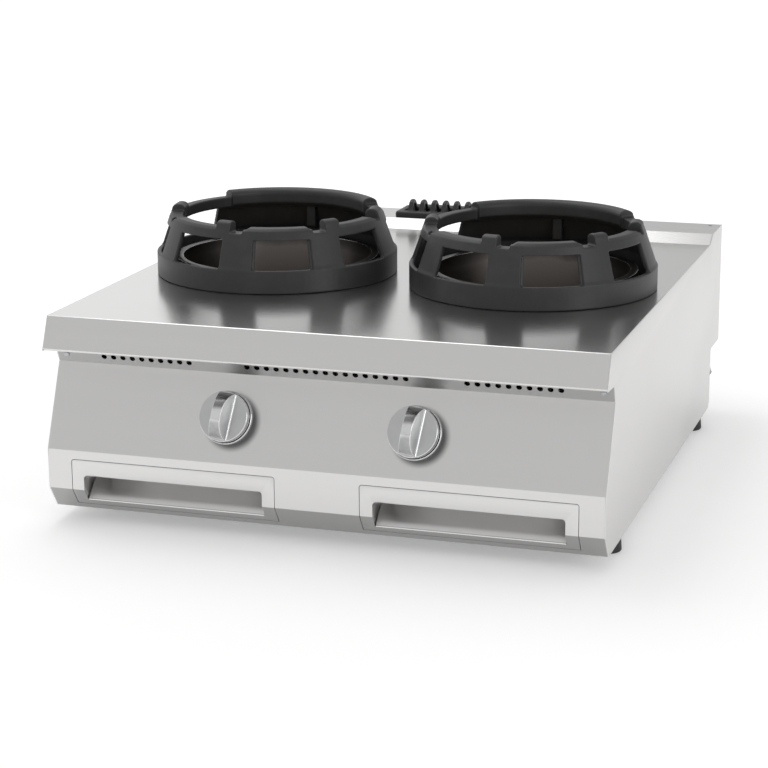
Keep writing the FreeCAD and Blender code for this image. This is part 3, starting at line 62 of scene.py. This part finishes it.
def make_camera():
    yaw = math.radians(CAMERA_YAW)
    pitch = math.radians(CAMERA_PITCH)
    roll = math.radians(CAMERA_ROLL)
    forward = Vector((math.sin(yaw) * math.cos(pitch), math.cos(yaw) * math.cos(pitch),
                      -math.sin(pitch)))
    level = Vector((math.cos(yaw), -math.sin(yaw), 0.0))
    upright = level.cross(forward)
    right = level * math.cos(roll) + upright * math.sin(roll)
    up = upright * math.cos(roll) - level * math.sin(roll)
    data = bpy.data.cameras.new("camera")
    data.sensor_width = SENSOR_WIDTH
    data.lens = FOCAL_PIXELS / PICTURE_PIXELS * SENSOR_WIDTH
    camera = bpy.data.objects.new("camera", data)
    turned = Matrix((right, up, -forward)).transposed().to_4x4()
    camera.matrix_world = Matrix.Translation(CAMERA_PLACE) @ turned
    bpy.context.scene.collection.objects.link(camera)
    bpy.context.scene.camera = camera


# ---- Shader tools --------------------------------------------------------------------------
class Signal:
    """A number leaving a shader node; sums and products on it add Math nodes."""

    def __init__(self, finish, socket):
        self.finish = finish
        self.socket = socket

    def __add__(self, other):
        return self.finish.maths("ADD", self, other)

    def __radd__(self, other):
        return self.finish.maths("ADD", other, self)

    def __sub__(self, other):
        return self.finish.maths("SUBTRACT", self, other)

    def __rsub__(self, other):
        return self.finish.maths("SUBTRACT", other, self)

    def __mul__(self, other):
        return self.finish.maths("MULTIPLY", self, other)

    def __rmul__(self, other):
        return self.finish.maths("MULTIPLY", other, self)


class Finish:
    """A material under construction. Every node goes through node()."""

    def __init__(self, owner):
        self.owner = owner
        owner.use_nodes = True
        self.tree = owner.node_tree
        self.tree.nodes.clear()

    def node(self, kind, settings=None, sockets=None, out=0):
        made = self.tree.nodes.new("ShaderNode" + kind)
        for name, value in (settings or {}).items():
            if name == "stops":
                fill_ramp(made.color_ramp, value)
            else:
                setattr(made, name, value)
        for name, value in (sockets or {}).items():
            if isinstance(value, Signal):
                self.tree.links.new(value.socket, made.inputs[name])
            else:
                made.inputs[name].default_value = value
        return Signal(self, made.outputs[out]) if len(made.outputs) else None

    def maths(self, operation, a, b):
        return self.node("Math", {"operation": operation}, {0: a, 1: b})

    def place(self, scale=(1, 1, 1), centre=(0, 0, 0)):
        """Object coordinates in metres, moved to centre and scaled."""
        coords = self.node("TexCoord", out="Object")
        moved = self.node("VectorMath", {"operation": "SUBTRACT"}, {0: coords, 1: centre})
        return self.node("Mapping", None, {"Vector": moved, "Scale": scale})

    def noise(self, place, scale, detail=3.0, rough=0.5):
        return self.node("TexNoise", None, {"Vector": place, "Scale": scale, "Detail": detail,
                                            "Roughness": rough})

    def cells(self, place, scale, out="Distance"):
        return self.node("TexVoronoi", None, {"Vector": place, "Scale": scale}, out)

    def spread(self, signal, low, high):
        """0 where the signal is at low, 1 where it is at high, and smooth between them."""
        return self.node("MapRange", {"interpolation_type": "SMOOTHSTEP"},
                         {"Value": signal, "From Min": low, "From Max": high})

    def blend(self, share, first, second):
        return self.node("Mix", {"data_type": "RGBA"}, {0: share, 6: first, 7: second}, out=2)

    def tones(self, signal, stops):
        return self.node("ValToRGB", {"stops": stops}, {0: signal})

    def bump(self, height, strength, distance, under=None):
        sockets = {"Height": height, "Strength": strength, "Distance": distance}
        if under is not None:
            sockets["Normal"] = under
        return self.node("Bump", None, sockets)

    def surface(self, **sockets):
        named = {name.replace("_", " "): value for name, value in sockets.items()}
        shader = self.node("BsdfPrincipled", None, named)
        self.node("OutputMaterial", None, {"Surface": shader})
        return self.owner


def fill_ramp(ramp, stops):
    while len(ramp.elements) < len(stops):
        ramp.elements.new(1.0)
    for element, (position, colour) in zip(ramp.elements, stops):
        element.position = position
        element.color = colour


def grey(level, warmth=0.0):
    """A linear grey, a little redder where warmth is above zero and bluer below."""
    return (level * (1 + warmth), level, level * (1 - warmth), 1.0)


def new_finish(name):
    return Finish(bpy.data.materials.new(name))


# ---- Finishes ------------------------------------------------------------------------------
BRUSH_LINES = (5, 1500, 1500)
BRUSH_BANDS = (0.8, 45, 45)
STEEL_WARMTH = 0.008
# share of the steel's tone left where painted shade is full
PAINTED_SHADE_SHARE = 0.22


def brushed_steel(name, tone, roughness, lustre=0.015, shade=None):
    """Satin stainless sheet, brushed along X. shade gives where shade is painted into its colour
    as a darker tone.
    """
    f = new_finish(name)
    lines = f.noise(f.place(BRUSH_LINES), 1.0, 2.0, 0.6)
    bands = f.noise(f.place(BRUSH_BANDS), 1.0, 3.0, 0.6)
    haze = f.noise(f.place(centre=(0.3, 0.1, 0.0)), 2.4, 3.0, 0.5)
    wiped = f.spread(haze, 0.35, 0.7)
    colour = f.blend(bands, grey(tone * (1 - lustre), STEEL_WARMTH),
                     grey(tone * (1 + lustre), STEEL_WARMTH))
    if shade:
        # painted shade: blends the steel towards a dark tone where shade is high
        colour = f.blend(shade(f), colour, grey(tone * PAINTED_SHADE_SHARE, STEEL_WARMTH))
    rough = roughness + (lines - 0.5) * 0.07 + (bands - 0.5) * 0.02 + wiped * 0.03
    normal = f.bump(lines, 0.05, 0.00005)
    return f.surface(Base_Color=colour, Metallic=1.0, Roughness=rough, Normal=normal)


CHAMFER_TOP = 0.0543
BAND_FOOT = 0.2273
BAND_TOP = 0.2514
TRAY_FACE = -0.4348
CHAMFER_INWARD = (0.82, 0.57)    # along Y and Z, square to the chamfer
# painted shade: how much darker the chamfers, the vent band and the finger recess are drawn
CHAMFER_PAINTED_SHADE = 0.56
BAND_PAINTED_SHADE = 0.55
RECESS_PAINTED_SHADE = 0.10
SOFT_EDGE = 0.0006
SHADE_ASIDE = 0.0055             # the painted shadow crescent lies right of a knob
SHADE_BELOW = 0.0045             # and below it
SHADE_REACH = (0.0445, 0.0325)   # where it ends and where it is full
RECESS_REACH = (-0.4200, -0.4150)
SKIN_REACH = (0.0024, 0.0014)


def chamfer_share(f, z):
    """1 below the bend of the chamfer, 0 above it."""
    return f.spread(z, CHAMFER_TOP + SOFT_EDGE, CHAMFER_TOP - SOFT_EDGE)


def front_shade(f):
    """Painted shade on the vent band under the lip and on the chamfer, and a painted shadow close
    beside each knob.
    """
    at = f.place()
    z = f.node("SeparateXYZ", None, {0: at}, out="Z")
    above_foot = f.spread(z, BAND_FOOT - SOFT_EDGE, BAND_FOOT + SOFT_EDGE)
    band = above_foot * f.spread(z, BAND_TOP + MM, BAND_TOP)
    # painted shade on the chamfer and on the vent band under the lip
    shade = chamfer_share(f, z) * CHAMFER_PAINTED_SHADE + band * BAND_PAINTED_SHADE
    for side in SIDES:
        low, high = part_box(side + "_knob_bezel")
        middle = (low + high) / 2
        beside = (middle.x + SHADE_ASIDE, middle.y, middle.z - SHADE_BELOW)
        away = f.node("VectorMath", {"operation": "DISTANCE"}, {0: at, 1: beside}, out="Value")
        # painted shadow of each knob on the panel, right of and below it
        shade = shade + f.spread(away, *SHADE_REACH)
    return shade


def tray_shade(f):
    """Painted shade on a tray front's chamfer and inside its finger recess."""
    at = f.place()
    z = f.node("SeparateXYZ", None, {0: at}, out="Z")
    y = f.node("SeparateXYZ", None, {0: at}, out="Y")
    recess = f.spread(y, *RECESS_REACH)
    depth = (y - TRAY_FACE) * CHAMFER_INWARD[0] + (z - CHAMFER_TOP) * CHAMFER_INWARD[1]
    chamfer = chamfer_share(f, z) * f.spread(depth, *SKIN_REACH)
    # painted shade inside the finger recess and on the chamfer
    return f.maths("MAXIMUM", recess * RECESS_PAINTED_SHADE, chamfer * CHAMFER_PAINTED_SHADE)


def cast_iron(name, level, roughness):
    """Black sand-cast iron: fine grain, shallow mottling and a little dust."""
    f = new_finish(name)
    at = f.place()
    grain = f.noise(at, 900.0, 3.0, 0.65)
    pits = f.cells(at, 378.0)
    mottle = f.noise(at, 30.0, 4.0, 0.6)
    dust = f.spread(mottle, 0.42, 0.72)
    colour = f.blend(dust, grey(level, -0.01), grey(level * 1.35, 0.0))
    rough = roughness + (mottle - 0.5) * 0.12 + (grain - 0.5) * 0.12
    normal = f.bump(grain * 0.7 + pits * 0.3, 0.16, 0.0003, f.bump(mottle, 0.12, 0.0008))
    return f.surface(Base_Color=colour, Metallic=0.0, Roughness=rough, Normal=normal,
                     Specular_IOR_Level=0.5)


WELL_RIM = 0.330
WELL_FLOOR = 0.245


def rim_shaded_well_steel(name):
    """Steel of the burner wells: painted shade darkens it at the rim, standing for the dark ring
    it reflects; below the rim it is brown, darker towards the floor of the bowl.
    """
    f = new_finish(name)
    at = f.place()
    smoke = f.noise(at, 22.0, 4.0, 0.6)
    lines = f.noise(f.place((20, 20, 900)), 1.0, 2.0, 0.6)
    height = f.node("SeparateXYZ", None, {0: at}, out="Z")
    rim_to_floor = f.spread(height + (smoke - 0.5) * 0.02, WELL_RIM, WELL_FLOOR)
    # painted shade: darkest at the rim, then brown and darker towards the floor of the bowl
    colour = f.tones(rim_to_floor, ((0.0, (0.045, 0.041, 0.039, 1)), (0.14, (0.12, 0.108, 0.101, 1)),
                            (0.6, (0.10, 0.088, 0.080, 1)), (1.0, (0.07, 0.066, 0.063, 1))))
    rough = 0.34 + (smoke - 0.5) * 0.12 + (lines - 0.5) * 0.08
    return f.surface(Base_Color=colour, Metallic=1.0, Roughness=rough,
                     Normal=f.bump(lines, 0.05, 0.0001))


SPANGLE = 95.0


def spangled_steel(name):
    """Galvanised inner sheet with its crystal pattern."""
    f = new_finish(name)
    at = f.place()
    flakes = f.cells(at, SPANGLE)
    shade = f.node("SeparateColor", None, {0: f.cells(at, SPANGLE, "Color")})
    cloud = f.noise(at, 9.0, 3.0)
    colour = f.blend(shade * 0.6 + cloud * 0.4, grey(0.36, -0.01), grey(0.52, -0.015))
    rough = 0.38 + shade * 0.14 + (flakes - 0.3) * 0.08
    return f.surface(Base_Color=colour, Metallic=1.0, Roughness=rough,
                     Normal=f.bump(shade, 0.04, 0.0002))


def turned_metal(name, colour, dark, roughness):
    """Machined or drawn metal, with faint tool marks and a duller film in places."""
    f = new_finish(name)
    at = f.place()
    film = f.noise(at, 45.0, 4.0, 0.6)
    marks = f.noise(at, 700.0, 2.0, 0.6)
    share = f.spread(film, 0.35, 0.7)
    rough = roughness + share * 0.14 + (marks - 0.5) * 0.08
    return f.surface(Base_Color=f.blend(share, colour, dark), Metallic=1.0, Roughness=rough,
                     Normal=f.bump(marks, 0.10, 0.0001))


def satin_metal(name, level, roughness, marks=0.10):
    """Plated knob metal: even satin, with hair-fine brushing up and down."""
    f = new_finish(name)
    lines = f.noise(f.place((2200, 30, 30)), 1.0, 2.0, 0.6)
    cloud = f.noise(f.place(), 60.0, 3.0)
    colour = f.blend(f.spread(cloud, 0.3, 0.7), grey(level * 0.97, -0.006),
                     grey(level * 1.02, -0.004))
    rough = roughness + (lines - 0.5) * 0.06 + (cloud - 0.5) * 0.04
    return f.surface(Base_Color=colour, Metallic=1.0, Roughness=rough,
                     Normal=f.bump(lines, marks, 0.00005))


def crest_metal(name):
    """Polished crest of a knob's grip, with painted dark reflections at both its ends and along
    its middle.
    """
    f = new_finish(name)
    at = f.place(centre=(0.0, KNOB_ON_PANEL[0], KNOB_ON_PANEL[1]))
    height = f.node("SeparateXYZ", None, {0: at}, out="Z")
    film = f.noise(at, 90.0, 3.0)
    # painted reflection: the crest is drawn darker at its upper and lower ends and along its
    # middle
    upper = f.spread(height, 0.0235, 0.0300)
    middle = f.spread(height, 0.0150, 0.0060) * f.spread(height, -0.0220, -0.0120)
    lower = f.spread(height, -0.0200, -0.0270)
    ends = f.maths("MAXIMUM", upper * 0.85, lower * 0.65)
    painted_reflection_and_film = f.maths("MAXIMUM", ends, middle * 0.55) + f.spread(film, 0.35, 0.75) * 0.10
    colour = f.blend(painted_reflection_and_film, grey(0.80, -0.004), grey(0.16, -0.006))
    rough = 0.15 + painted_reflection_and_film * 0.10
    return f.surface(Base_Color=colour, Metallic=1.0, Roughness=rough,
                     Normal=f.bump(film, 0.02, 0.0001))


def moulded_rubber(name):
    """Black rubber of the feet, with a faint grey bloom."""
    f = new_finish(name)
    at = f.place()
    grain = f.noise(at, 1500.0, 2.0)
    bloom = f.noise(at, 70.0, 4.0)
    colour = f.blend(f.spread(bloom, 0.4, 0.75), grey(0.012), grey(0.024, 0.01))
    rough = 0.52 + (bloom - 0.5) * 0.2
    return f.surface(Base_Color=colour, Metallic=0.0, Roughness=rough,
                     Normal=f.bump(grain, 0.2, 0.0002))


def pale_floor(name):
    """White studio floor with a faint light of its own, so that it stays white far away."""
    f = new_finish(name)
    cloud = f.noise(f.place(), 0.7, 3.0)
    away = f.node("VectorMath", {"operation": "LENGTH"}, {0: f.place()}, out="Value")
    glow = f.blend(f.spread(away, 0.4, 2.6), grey(0.25), grey(0.42))
    colour = f.blend(cloud, grey(0.88, 0.0), grey(0.90, 0.0))
    return f.surface(Base_Color=colour, Metallic=0.0, Roughness=0.8 + (cloud - 0.5) * 0.1,
                     Specular_IOR_Level=0.0, Emission_Color=glow, Emission_Strength=1.0)


# ---- Mesh tools ----------------------------------------------------------------------------
def merge_doubles(bm):
    bmesh.ops.remove_doubles(bm, verts=bm.verts[:], dist=1e-6)


def copied_mesh(node):
    """A merged copy of a CAD node's mesh, to be worked on."""
    bm = bmesh.new()
    bm.from_mesh(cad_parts[node].data)
    merge_doubles(bm)
    return bm


def finished_piece(name, bm, material, body, replaced, sharp):
    """Turns a bmesh, already in its place, into a piece that rides on a body."""
    merge_doubles(bm)
    bmesh.ops.recalc_face_normals(bm, faces=bm.faces[:])
    mesh = bpy.data.meshes.new(name)
    bm.to_mesh(mesh)
    bm.free()
    dressed_mesh(name, mesh, material, body, replaced, sharp)


def dressed_mesh(name, mesh, material, body, replaced, sharp):
    """Gives a mesh its object, finishes, shading and body, and hides the CAD node it replaces."""
    for face in mesh.polygons:
        face.use_smooth = True
    mesh.set_sharp_from_angle(angle=math.radians(sharp))
    piece = bpy.data.objects.new(name, mesh)
    bpy.context.scene.collection.objects.link(piece)
    for one in material if isinstance(material, tuple) else (material,):
        piece.data.materials.append(one)
    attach(piece, body)
    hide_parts(replaced)


def spin_outline(bm, outline, steps):
    """Closed ring spun from a closed (radius, height) outline about the Z axis."""
    verts = [bm.verts.new((r, 0, z)) for r, z in outline]
    edges = [bm.edges.new((a, b)) for a, b in zip(verts, verts[1:] + verts[:1])]
    bmesh.ops.spin(bm, geom=verts + edges, cent=(0, 0, 0), axis=(0, 0, 1), angle=math.tau,
                   steps=steps, use_merge=True, use_duplicate=False)
    merge_doubles(bm)


def sharp_edges(bm, degrees):
    limit = math.radians(degrees)
    return [e for e in bm.edges if len(e.link_faces) == 2 and e.calc_face_angle(0.0) > limit]


# a piece's second finish; on sheets and wells a brighter metal that paints a highlight on rounded
# edges
EDGE_FINISH = 1


def soften(bm, edges, width, segments):
    """Rounds edges and gives the rounding a piece's second finish, the bright one; on sheets and
    wells that finish is a painted highlight.
    """
    bmesh.ops.bevel(bm, geom=edges, offset=width, offset_type="OFFSET", segments=segments,
                    profile=0.5, affect="EDGES", clamp_overlap=True, material=EDGE_FINISH)


LIP_HEIGHT = 0.0383
LIP_FRONT = -0.4225
LIP_LENGTH = 0.15
LIP_ROUND = 1.0 * MM
LIP_SLACK = 0.5 * MM


def edged_sheet(name, node, width, sheet, edge, body):
    """A CAD sheet part with the thin break of a deburred edge, wider at a recess's lip, its
    brighter finish a painted highlight.
    """
    bm = copied_mesh(node)
    bmesh.ops.dissolve_limit(bm, angle_limit=math.radians(0.5), verts=bm.verts[:],
                             edges=bm.edges[:], use_dissolve_boundaries=False)
    lip = [e for e in sharp_edges(bm, 30) if e.calc_length() > LIP_LENGTH
           and all(abs(v.co.z - LIP_HEIGHT) < LIP_SLACK and v.co.y < LIP_FRONT for v in e.verts)]
    if lip:
        soften(bm, lip, LIP_ROUND, 3)
    soften(bm, sharp_edges(bm, 32), width, 2)
    finished_piece(name, bm, (sheet, edge), body, node, sharp=50.0)


GRILLE_VOXEL = 0.9 * MM
RING_VOXEL = 1.25 * MM
BREAK = 0.4 * MM


def softened_casting(name, node, voxel, rounds, kept, material, body):
    """A CAD casting with corners as a sand mould leaves them. kept is the share of faces."""
    bm = copied_mesh(node)
    rough = bpy.data.meshes.new(name + "_rough")
    bm.to_mesh(rough)
    bm.free()
    holder = bpy.data.objects.new(name + "_holder", rough)
    bpy.context.scene.collection.objects.link(holder)
    remesh = holder.modifiers.new("skin", "REMESH")
    remesh.mode = "VOXEL"
    remesh.voxel_size = voxel
    smooth = holder.modifiers.new("worn", "SMOOTH")
    smooth.factor = 0.5
    smooth.iterations = rounds
    fewer = holder.modifiers.new("fewer", "DECIMATE")
    fewer.ratio = kept
    graph = bpy.context.evaluated_depsgraph_get()
    mesh = bpy.data.meshes.new_from_object(holder.evaluated_get(graph))
    mesh.name = name
    bpy.data.objects.remove(holder)
    bpy.data.meshes.remove(rough)
    dressed_mesh(name, mesh, material, body, node, sharp=180.0)


# ---- Knobs ---------------------------------------------------------------------------------
PANEL_UP = Vector((0.0, 48.1, 115.8)).normalized()
PANEL_OUT = Vector((0.0, -115.8, 48.1)).normalized()
KNOB_R = 35.0
KNOB_FACE = 23.0
KNOB_BACK = 4.8
GRIP_HALF = 33.0
GRIP_HEIGHT = 28.0
GRIP_ARC = (GRIP_HALF ** 2 + GRIP_HEIGHT ** 2) / (2 * GRIP_HEIGHT)
GRIP_FOOT = 11.8
GRIP_CREST = 7.0
GRIP_TURN = math.radians(-6.5)
RIM_ROUND = 1.1
ROUND_STEPS = 120
CREST_STEPS = 30
FILLET_R = 1.7
FILLET_HALF = 31.6
FILLET_SUNK = 0.4
FACE, WALL, CREST = 0, 1, 2      # a knob's finishes, in the order of its material slots


def knob_place(side):
    """Matrix from a knob's own millimetres (Z out of the panel, Y up it) to the range."""
    low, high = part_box(side + "_valve_spindle")
    x = (low.x + high.x) / 2
    foot_y, foot_z = KNOB_ON_PANEL
    turned = Matrix((Vector((1, 0, 0)), PANEL_UP, PANEL_OUT)).transposed().to_4x4()
    own = Matrix.Scale(MM, 4) @ Matrix.Rotation(GRIP_TURN, 4, "Z")
    return Matrix.Translation((x, foot_y, foot_z)) @ turned @ own


def knob(side, face_plate, wall_plate, crest_plate):
    """Knob with its half-moon grip: satin faces, polished wall and crest."""
    bm = bmesh.new()
    rim = [(KNOB_R - RIM_ROUND + RIM_ROUND * math.sin(a),
            KNOB_FACE - RIM_ROUND + RIM_ROUND * math.cos(a))
           for a in (0.0, 0.4, 0.8, 1.2, math.pi / 2)]
    back = [(KNOB_R, KNOB_BACK + 1.0), (KNOB_R - 0.8, KNOB_BACK), (0, KNOB_BACK)]
    spin_outline(bm, [(0, KNOB_FACE)] + rim + back, ROUND_STEPS)
    for f in bm.faces:
        if f.calc_center_median().z < KNOB_FACE - 0.05:
            f.material_index = WALL
    grip = bmesh.new()
    last = math.asin(GRIP_HALF / GRIP_ARC)
    turns = [last * k / CREST_STEPS for k in range(-CREST_STEPS, CREST_STEPS + 1)]
    crest = [(GRIP_ARC * math.sin(a), GRIP_ARC * math.cos(a) - (GRIP_ARC - GRIP_HEIGHT))
             for a in turns]
    outline = [(-GRIP_HALF, -3.0)] + crest + [(GRIP_HALF, -3.0)]
    face = grip.faces.new([grip.verts.new((GRIP_FOOT, y, h)) for y, h in outline])
    moved = bmesh.ops.extrude_face_region(grip, geom=[face])
    far = [v for v in moved["geom"] if isinstance(v, bmesh.types.BMVert)]
    bmesh.ops.translate(grip, verts=far, vec=(-2 * GRIP_FOOT, 0, 0))
    for v in grip.verts:
        v.co.x *= 1 - (1 - GRIP_CREST / GRIP_FOOT) * max(v.co.z, 0.0) / GRIP_HEIGHT
    bmesh.ops.recalc_face_normals(grip, faces=grip.faces[:])
    for f in grip.faces:
        f.material_index = CREST if len(f.verts) == 4 else FACE
    ridge = [e for e in sharp_edges(grip, 40) if max(v.co.z for v in e.verts) > 0.5
             and abs(e.verts[0].co.x - e.verts[1].co.x) < 3]
    soften(grip, ridge, 0.8, 3)
    bmesh.ops.translate(grip, verts=grip.verts[:], vec=(0, 0, KNOB_FACE))
    join_into(bm, grip)
    for s in (-1, 1):
        join_into(bm, foot_fillet(s))
    bmesh.ops.transform(bm, matrix=knob_place(side), verts=bm.verts[:])
    finished_piece(side + "_knob_dressed", bm, (face_plate, wall_plate, crest_plate),
                   side + "_knob", side + "_knob", sharp=28.0)


def foot_fillet(s):
    """Hollow fillet between the grip's flank and the knob's face."""
    bm = bmesh.new()
    lean = (GRIP_FOOT - GRIP_CREST) / GRIP_HEIGHT
    inner = GRIP_FOOT - FILLET_SUNK
    profile = [(inner, -FILLET_SUNK), (inner - lean * FILLET_R, FILLET_R)]
    for k in range(7):
        a = math.pi / 2 * k / 6
        z = FILLET_R - FILLET_R * math.sin(a)
        profile.append((GRIP_FOOT - lean * z + FILLET_R - FILLET_R * math.cos(a), z))
    profile.append((GRIP_FOOT + FILLET_R, -FILLET_SUNK))
    face = bm.faces.new([bm.verts.new((s * x, -FILLET_HALF, KNOB_FACE + z)) for x, z in profile])
    moved = bmesh.ops.extrude_face_region(bm, geom=[face])
    far = [v for v in moved["geom"] if isinstance(v, bmesh.types.BMVert)]
    bmesh.ops.translate(bm, verts=far, vec=(0, 2 * FILLET_HALF, 0))
    bmesh.ops.recalc_face_normals(bm, faces=bm.faces[:])
    for f in bm.faces:
        f.material_index = WALL
    return bm


def join_into(target, extra):
    """Adds a finished bmesh to another one."""
    mesh = bpy.data.meshes.new("joining")
    bmesh.ops.recalc_face_normals(extra, faces=extra.faces[:])
    extra.to_mesh(mesh)
    extra.free()
    target.from_mesh(mesh)
    bpy.data.meshes.remove(mesh)


BEZEL_OUTLINE = [(10.0, 0.0), (37.3, 0.0), (37.3, 9.6), (37.0, 10.5), (36.4, 11.0), (35.9, 10.9),
                 (35.6, 10.4), (35.6, 1.5), (10.0, 1.5)]


def knob_bezel(side, material):
    """Bright cup that stands behind a knob, its rim rolled over."""
    bm = bmesh.new()
    spin_outline(bm, BEZEL_OUTLINE, ROUND_STEPS)
    bmesh.ops.transform(bm, matrix=knob_place(side), verts=bm.verts[:])
    finished_piece(side + "_bezel_dressed", bm, material, "range_body",
                   side + "_knob_bezel", sharp=40.0)


# ---- Burner wells --------------------------------------------------------------------------
WORKTOP_HEIGHT = 0.3
WELL_STEPS = 144
WELL_OUTLINE = [(168, 0), (168, 1.5), (154, 1.5), (154, 27), (143, 27), (130, -60), (88, -60),
                (88, -61.5), (131.2, -61.5), (144.3, 25.5), (152.5, 25.5), (152.5, 0)]


def burner_well(side, sheet, edge):
    """Pressed steel well: flange on the worktop, raised rim and the bowl below it."""
    low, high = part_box(side + "_burner_well")
    centre = Vector(((low.x + high.x) / 2, (low.y + high.y) / 2, WORKTOP_HEIGHT))
    bm = bmesh.new()
    spin_outline(bm, WELL_OUTLINE, WELL_STEPS)
    bmesh.ops.recalc_face_normals(bm, faces=bm.faces[:])
    # painted highlight: the rounded edges take the well's much brighter second finish
    soften(bm, sharp_edges(bm, 50), 0.6, 2)
    bmesh.ops.transform(bm, matrix=Matrix.Translation(centre) @ Matrix.Scale(MM, 4),
                        verts=bm.verts[:])
    finished_piece(side + "_well_dressed", bm, (sheet, edge), "range_body",
                   side + "_burner_well", sharp=30.0)


# ---- Light and floor -----------------------------------------------------------------------
def softbox(name, place, target, width, height, level):
    """Rectangular lamp whose surface is as bright as level."""
    data = bpy.data.lights.new(name, "AREA")
    data.shape = "RECTANGLE"
    data.size = width
    data.size_y = height
    data.energy = math.pi * width * height * level
    lamp = bpy.data.objects.new(name, data)
    place = Vector(place)
    lamp.location = place
    lamp.rotation_euler = (Vector(target) - place).to_track_quat("-Z", "Y").to_euler()
    lamp.visible_camera = False
    bpy.context.scene.collection.objects.link(lamp)


def studio():
    """Soft light: a sky brighter behind on the left, two softboxes and a white floor."""
    world = bpy.data.worlds.new("studio")
    bpy.context.scene.world = world
    f = Finish(world)
    direction = f.node("TexCoord", out="Generated")
    back = f.spread(f.node("SeparateXYZ", None, {0: direction}, out="Y"), -0.6, 0.5)
    left = f.spread(f.node("SeparateXYZ", None, {0: direction}, out="X"), -0.16, -0.41)
    level = 0.67 + back * (left * 0.36 - 0.07)
    sky = f.node("Background", None, {"Color": (1, 1, 1, 1), "Strength": level})
    f.node("OutputWorld", None, {"Surface": sky})
    softbox("overhead", (-0.7, 0.6, 2.3), (-0.7, 0.6, 0.0), 1.3, 1.9, 1.7)
    softbox("right_fill", (2.6, -1.5, 1.0), (0.2, -0.1, 0.25), 1.1, 1.3, 2.2)
    bm = bmesh.new()
    bmesh.ops.create_grid(bm, x_segments=24, y_segments=24, size=30.0)
    mesh = bpy.data.meshes.new("floor")
    bm.to_mesh(mesh)
    bm.free()
    floor = bpy.data.objects.new("floor", mesh)
    floor.data.materials.append(pale_floor("pale_floor"))
    bpy.context.scene.collection.objects.link(floor)
    bpy.context.scene.view_settings.view_transform = "Standard"


# ---- Dress the CAD nodes -------------------------------------------------------------------
def dress(material, *names):
    """Gives CAD nodes a material; a name that starts with _ stands for both sides."""
    for name in names:
        for node in [s + name for s in SIDES] if name.startswith("_") else [name]:
            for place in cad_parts[node].material_slots:
                place.link = "OBJECT"
                place.material = material


make_camera()
worktop_steel = brushed_steel("worktop_steel_brushed", 0.72, 0.19)
riser_steel = brushed_steel("riser_steel_brushed", 0.68, 0.26)
back_steel = brushed_steel("back_steel_brushed", 0.58, 0.34, 0.03)
# front panel steel, with painted shade on its band and chamfer and painted knob shadows
front_steel = brushed_steel("front_steel_brushed_painted_shade", 0.71, 0.30, shade=front_shade)
flank_steel = brushed_steel("flank_steel_brushed", 0.68, 0.34, 0.008)
tray_steel = brushed_steel("tray_steel_brushed", 0.72, 0.31)
# tray front steel, with painted shade in its recess and on its chamfer
tray_front_steel = brushed_steel("tray_front_steel_brushed_painted_shade", 0.72, 0.30, shade=tray_shade)
# painted highlight: a brighter steel for the rounded edges of sheets
highlight_edge_steel = brushed_steel("edge_steel_painted_highlight", 0.88, 0.24, 0.03)
inner_steel = spangled_steel("inner_steel_spangled")
black_iron = cast_iron("black_iron_cast", 0.023, 0.46)
grey_iron = cast_iron("grey_iron_cast", 0.10, 0.6)
well_steel = rim_shaded_well_steel("well_steel_painted_rim_shade")
# painted highlight: a bright metal for the rounded edges of the wells
well_edge_highlight = turned_metal("well_edge_painted_highlight", (0.62, 0.60, 0.58, 1), (0.50, 0.48, 0.46, 1), 0.22)
cap_brass = turned_metal("cap_brass_turned", (0.54, 0.39, 0.19, 1), (0.44, 0.31, 0.15, 1), 0.36)
valve_brass = turned_metal("valve_brass_turned", (0.72, 0.54, 0.26, 1), (0.50, 0.35, 0.16, 1),
                           0.28)
zinc_pipe = turned_metal("pipe_zinc", (0.52, 0.53, 0.54, 1), (0.34, 0.35, 0.36, 1), 0.36)
copper = turned_metal("copper_drawn", (0.75, 0.40, 0.26, 1), (0.42, 0.21, 0.14, 1), 0.26)
screw_steel = turned_metal("screw_steel_bright", (0.72, 0.72, 0.72, 1), (0.55, 0.55, 0.56, 1),
                           0.26)
knob_plate = satin_metal("knob_plate_satin", 0.56, 0.30)
wall_plate = satin_metal("wall_plate_polished", 0.80, 0.10, 0.02)
crest_plate = crest_metal("crest_plate_polished")
bezel_plate = satin_metal("bezel_plate_polished", 0.72, 0.13, 0.03)
foot_rubber = moulded_rubber("foot_rubber_moulded")

dress(worktop_steel, "worktop")
dress(riser_steel, "riser_cap")
dress(front_steel, "front_panel")
dress(back_steel, "upper_back_panel", "lower_back_panel")
dress(tray_steel, "_tray_box")
dress(inner_steel, "base_pan", "centre_divider", "heat_shield", "flue_duct", "tray_runners",
      "manifold_posts", "_burner_bracket", "_injector_bracket")
dress(grey_iron, "_burner_body", "_venturi")
dress(cap_brass, "_burner_cap", "_injector", "_pilot_burner", "_valve_plunger")
dress(valve_brass, "_gas_valve")
dress(zinc_pipe, "gas_manifold", "inlet_pipe", "inlet_connector", "band_screws")
dress(copper, "_supply_tube", "_pilot_tube", "_thermocouple")
dress(screw_steel, "base_screws", "well_screws", "foot_bolts", "_valve_spindle")
dress(foot_rubber, "feet")

for side in SIDES:
    softened_casting(side + "_ring_dressed", side + "_wok_ring", RING_VOXEL, 2, 0.45, black_iron,
                     side + "_wok_ring")
    knob(side, knob_plate, wall_plate, crest_plate)
    knob_bezel(side, bezel_plate)
    burner_well(side, well_steel, well_edge_highlight)
    edged_sheet(side + "_tray_front_edged", side + "_tray_front", BREAK, tray_front_steel,
                highlight_edge_steel, side + "_tray")
    edged_sheet(side + "_side_panel_edged", side + "_side_panel", BREAK, flank_steel,
                highlight_edge_steel, "range_body")
softened_casting("grille_dressed", "flue_grille", GRILLE_VOXEL, 3, 0.5, black_iron, "flue_grille")

studio()
